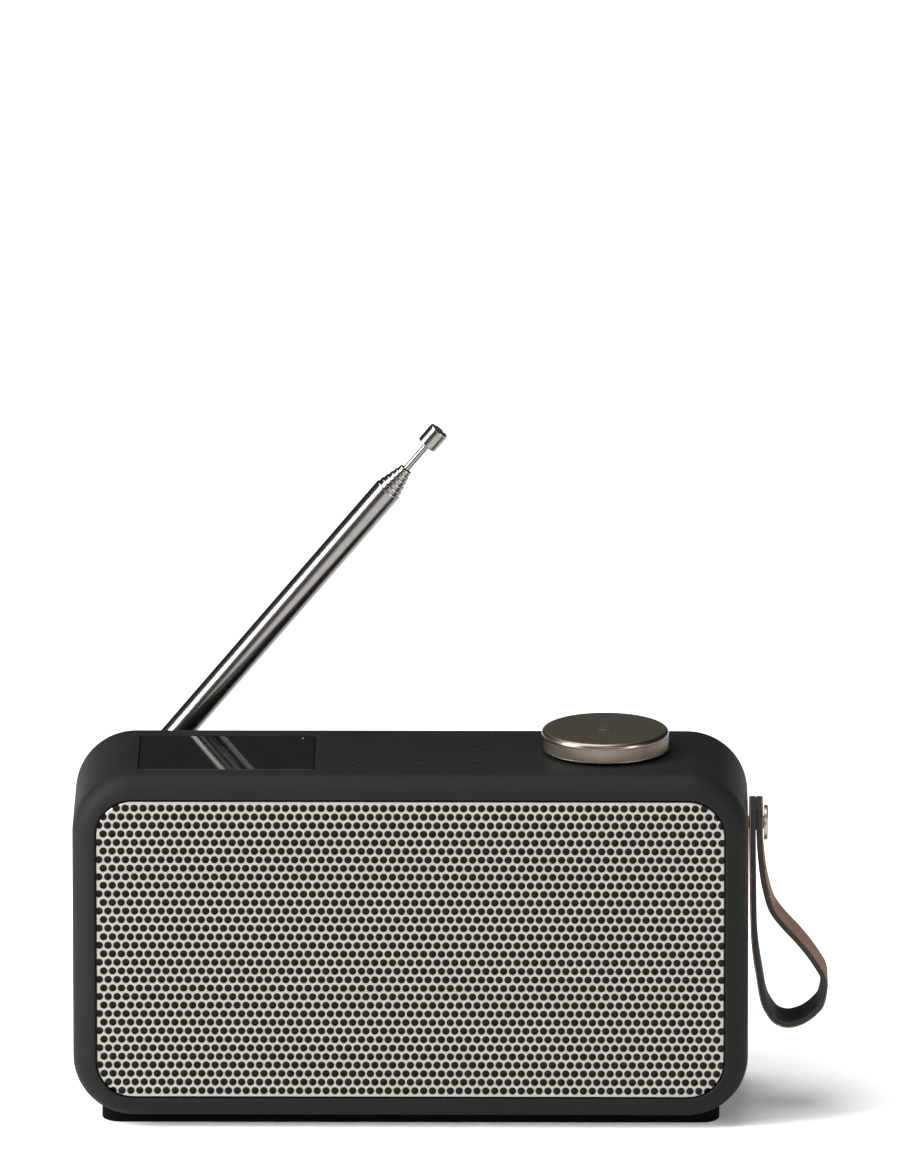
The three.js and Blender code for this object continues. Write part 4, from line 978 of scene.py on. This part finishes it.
PIVOT = np.array(JOINTS["antenna_swivel_turn"]["pos_m"]) / MM
ALONG = np.array(JOINTS["antenna_slide_2"]["axis"], float)
TILT = np.array(JOINTS["antenna_tilt"]["axis"], float)
AERIAL_AXES = np.stack([TILT, [0, 1, 0], ALONG])
EAR_AXES = np.stack([ALONG, [0, 1, 0], TILT])
PIN_AT = 8  # the tilt pin's distance from the swivel's axis
PIN_R, PIN_HOLE_R, PIN_HALF = 1.1, 1.25, 3.6
EAR_R, LUG_R = 3.4, 3.0  # rounded ends of the ears and the lug
EAR_IN, EAR_OUT, LUG_HALF = 2.0, 3.5, 1.7  # their faces, from the middle
SWIVEL_R, SWIVEL_T, SWIVEL_BORE = 5.2, 1.2, 1.7
PLUG_R = 3.9  # the lug's plug in the outer tube


def reach_of(node):
    """How far along the aerial's axis a CAD node starts and ends, and its radius."""
    cloud = np.array([vertex.co for vertex in frame["nodes"][node].data.vertices]) / MM - PIVOT
    height = cloud @ ALONG
    radius = np.linalg.norm(cloud - height[:, None] * ALONG, axis=1)
    return height.min(), height.max(), radius.max()


def aerial_tubes():
    """Each tube is a ring turned about the aerial's axis, its upper end rolled in over the next."""
    for number in range(1, 7):
        node = f"antenna_tube_{number}"
        start, end, radius = reach_of(node)
        radius -= 0.02
        bore = radius - 0.3
        profile = [(bore, start), (radius - 0.08, start), (radius, start + 0.12)]
        profile += [(radius, end - 0.55), (radius - 0.05, end - 0.3), (radius - 0.14, end - 0.1)]
        profile += [(radius - 0.25, end), (bore, end)]
        body = "aerial_arm" if number == 1 else f"aerial_section_{number}"
        tube = turned(f"aerial_tube_{number}", profile, 48, AERIAL_AXES, PIVOT, ring=True)
        finish(tube, CHROME, body, [node])
    start, end, radius = reach_of("antenna_rod")
    profile = [(0, start), (radius, start), (radius, end - 0.1), (radius - 0.1, end), (0, end)]
    rod = turned("aerial_rod", profile, 32, AERIAL_AXES, PIVOT)
    finish(rod, CHROME, "aerial_rod", ["antenna_rod"])
    start, end, radius = reach_of("antenna_tip")
    neck = arc((radius - 0.5, start + 0.5), 0.5, 270, 360, 5)
    profile = [(0, start)] + [tuple(p) for p in neck] + turned_rim(radius, end, 0.6, 6)
    profile += [(radius - 1.0, end), (radius - 1.15, end - 0.18), (0, end - 0.18)]
    tip = turned("aerial_tip", profile, 48, AERIAL_AXES, PIVOT)
    finish(tip, CHROME, "aerial_rod", ["antenna_tip"])


def aerial_joint():
    """Base, screw, swivel with its two ears, lug and pin."""
    place = (PIVOT[0], 0, PIVOT[2])
    low, high, _, half = spans("antenna_base")
    outer, stub, bore, flange = half[0], 3.2, 1.7, 1.2
    profile = [(bore, low[1]), (stub, low[1]), (stub, high[1] - flange), (outer, high[1] - flange)]
    profile += turned_rim(outer, high[1], 0.3, 4) + [(bore, high[1])]
    base = turned("aerial_base", profile, 56, TO_BACK, place, ring=True)
    finish(base, CHROME, "cabinet", ["antenna_base"])

    low, high, _, half = spans("antenna_screw")
    head, shank, under = half[0], 1.4, high[1] - 1.5
    profile = [(0, low[1]), (shank, low[1]), (shank, under), (head, under)]
    profile += turned_rim(head, high[1], 0.4, 4) + [(0, high[1])]
    screw = turned("aerial_screw", profile, 40, TO_BACK, place)
    groove = slab(rounded(head + 1, 0.35, 0.1, 2), high[1] - 0.7, high[1] + 1, 0.02, 1)
    cut(screw, [moved(groove, TO_BACK, place)])
    finish(screw, STEEL, "cabinet", ["antenna_screw"])

    disc_y = corners("antenna_swivel")[0][1] - PIVOT[1]
    lower = arc((SWIVEL_R - 0.25, disc_y + 0.25), 0.25, 270, 360, 3)
    profile = [(SWIVEL_BORE, disc_y)] + [tuple(p) for p in lower]
    profile += turned_rim(SWIVEL_R, disc_y + SWIVEL_T, 0.25, 3) + [(SWIVEL_BORE, disc_y + SWIVEL_T)]
    swivel = turned("aerial_swivel", profile, 56, TO_BACK, PIVOT, ring=True)
    bend = arc((PIN_AT, 0), EAR_R, -80, 90, 14)
    ear = np.concatenate([[(3.0, disc_y + 0.1), (PIN_AT, disc_y + 0.1)], bend, [(3.0, disc_y + 2.7)]])
    ears = [moved(slab(ear, low, high, 0.15, 2), EAR_AXES, PIVOT)
            for low, high in ((EAR_IN, EAR_OUT), (-EAR_OUT, -EAR_IN))]
    cut(swivel, ears, "UNION")
    pin_hole = moved(drill(PIN_HOLE_R, 28, -6, 6, (PIN_AT, 0)), EAR_AXES, PIVOT)
    cut(swivel, [pin_hole])
    finish(swivel, CHROME, "aerial_swivel", ["antenna_swivel"])

    end, tube_start = reach_of("antenna_lug")[1], reach_of("antenna_tube_1")[0]
    nose = arc((PIN_AT, 0), LUG_R, 90, 270, 16)
    outline = np.concatenate([nose, [(tube_start, -LUG_R), (tube_start, LUG_R)]])
    tongue = slab(outline, -LUG_HALF, LUG_HALF, 0.15, 2)
    lug = placed("aerial_lug", tongue, EAR_AXES, PIVOT)
    plug = lathe([(0, tube_start - 1), (PLUG_R, tube_start - 1), (PLUG_R, end), (0, end)], 40)
    cut(lug, [moved(plug, AERIAL_AXES, PIVOT)], "UNION")
    cut(lug, [pin_hole])
    finish(lug, CHROME, "aerial_arm", ["antenna_lug"])

    half = [(PIN_R, PIN_HALF - 0.2), (PIN_R - 0.3, PIN_HALF), (0, PIN_HALF)]
    profile = [(r, -h) for r, h in half[::-1]] + half
    pin = turned("aerial_pin", profile, 28, EAR_AXES, PIVOT + PIN_AT * ALONG)
    finish(pin, STEEL, "aerial_swivel", ["antenna_hinge_pin"])


# -------- back: screws and sockets


def rear_screws():
    """Flat heads with a softened rim and a cross recess."""
    for number in range(1, 5):
        node = f"rear_screw_{number}"
        low, high, mid, half = spans(node)
        head, shank, under = half[0], 1.5, high[1] - 1.5
        profile = [(0, low[1]), (shank, low[1]), (shank, under), (head, under)]
        profile += turned_rim(head, high[1], 0.35, 4) + [(0, high[1])]
        place = (mid[0], 0, mid[2])
        screw = turned(f"cover_screw_{number}", profile, 40, TO_BACK, place)
        bars = [slab(rounded(*half, 0.1, 2), high[1] - 0.8, high[1] + 1, 0.02, 1)
                for half in ((1.6, 0.38), (0.38, 1.6))]
        cut(screw, [moved(bar, TO_BACK, place) for bar in bars])
        finish(screw, STEEL, "cabinet", [node])


def sockets():
    """The charging socket is a steel shell with a tongue, the audio socket a bored round one."""
    low, high, mid, half = spans("usb_socket")
    place = (mid[0], 0, mid[2])
    shell = slab(rounded(half[0], half[2], 1.5, 8), low[1], high[1], 0.08, 2)
    usb = placed("charging_socket", shell, TO_BACK, place)
    wall, depth = 0.35, 4.5
    mouth = rounded(half[0] - wall, half[2] - wall, 1.2, 8)
    cut(usb, [moved(slab(mouth, high[1] - depth, high[1] + 1, 0.05, 1), TO_BACK, place)])
    finish(usb, STEEL, "cabinet", ["usb_socket"])
    tongue = slab(rounded(half[0] - 1.4, 0.35, 0.15, 3), high[1] - depth - 0.1, high[1] - 0.8, 0.1, 2)
    leaf = placed("charging_tongue", tongue, TO_BACK, place)
    finish(leaf, PLASTIC, "cabinet")
    low, high, mid, half = spans("aux_jack")
    outer, bore, depth = half[0], 1.8, 6
    profile = [(0, low[1]), (outer, low[1])] + turned_rim(outer, high[1], 0.3, 4)
    end = high[1] - depth
    profile += [(bore + 0.3, high[1]), (bore, high[1] - 0.3), (bore, end), (0, end)]
    jack = turned("audio_socket", profile, 48, TO_BACK, (mid[0], 0, mid[2]))
    finish(jack, PLASTIC, "cabinet", ["aux_jack"])


cabinet()
back_cover()
foot()
perforated_grille()
speaker_cloth()
display()
keys()
knob()
strap()
stud()
aerial_tubes()
aerial_joint()
rear_screws()
sockets()

# -------- camera, floor and light


def aim(obj, place, target):
    """Puts a camera or light at a place, in metres, looking at a target."""
    place, target = Vector(place), Vector(target)
    obj.location = place
    obj.rotation_euler = (target - place).to_track_quat("-Z", "Y").to_euler()


def soft_box(name, place, target, width, height, power):
    """A rectangular light with its power in watts."""
    light = bpy.data.lights.new(name, "AREA")
    light.shape, light.size, light.size_y = "RECTANGLE", width, height
    light.energy = power
    box = bpy.data.objects.new(name, light)
    bpy.context.scene.collection.objects.link(box)
    aim(box, place, target)


FLOOR_HALF = 30000.0


def studio():
    """A pale floor, an even soft light from above and boxes to the left, right and front."""
    eye = bpy.data.objects.new("camera", bpy.data.cameras.new("camera"))
    bpy.context.scene.collection.objects.link(eye)
    bpy.context.scene.camera = eye
    eye.data.lens, eye.data.sensor_width = 601.6, 36
    eye.data.clip_end = 100
    elevation, yaw, distance = math.radians(14.9), math.radians(-0.34), 6.25
    target = Vector((0.01241, 0, 0.16976))
    level = math.cos(elevation)
    back_from = Vector((-math.sin(yaw) * level, -math.cos(yaw) * level, math.sin(elevation)))
    aim(eye, target + back_from * distance, target)

    square = np.array([(-1, -1, 0), (1, -1, 0), (1, 1, 0), (-1, 1, 0)]) * FLOOR_HALF
    floor = mesh_object("floor", [(square, [(0, 1, 2, 3)])])
    paint = Paint("floor_paper", roughness=0.9, specular_ior_level=0.1)
    paper = paint.blend(paint.noise(0.002, 2), (0.90, 0.90, 0.90), (0.91, 0.91, 0.91))
    floor.data.materials.append(paint.set(base_color=paper))

    bpy.context.scene.view_settings.view_transform = "Standard"
    world = bpy.data.worlds.new("studio")
    bpy.context.scene.world = world
    world.use_nodes = True
    world.node_tree.nodes["Background"].inputs["Color"].default_value = (0.045, 0.045, 0.045, 1)

    sky = bpy.data.lights.new("overhead", "SUN")
    sky.energy, sky.angle = 3.4, math.radians(52)
    overhead = bpy.data.objects.new("overhead", sky)
    bpy.context.scene.collection.objects.link(overhead)
    aim(overhead, (-0.9, 0.05, 3), (0, 0, 0))
    soft_box("left_box", (-1.3, -0.5, 0.7), (-0.05, 0, 0.08), 0.5, 1.2, 52)
    soft_box("right_box", (1.2, -1.0, 0.45), (0.1, 0, 0.08), 0.4, 1.0, 16)
    soft_box("front_box", (0.2, -2.4, 1.6), (0, 0, 0.06), 1.8, 1.0, 16)


studio()
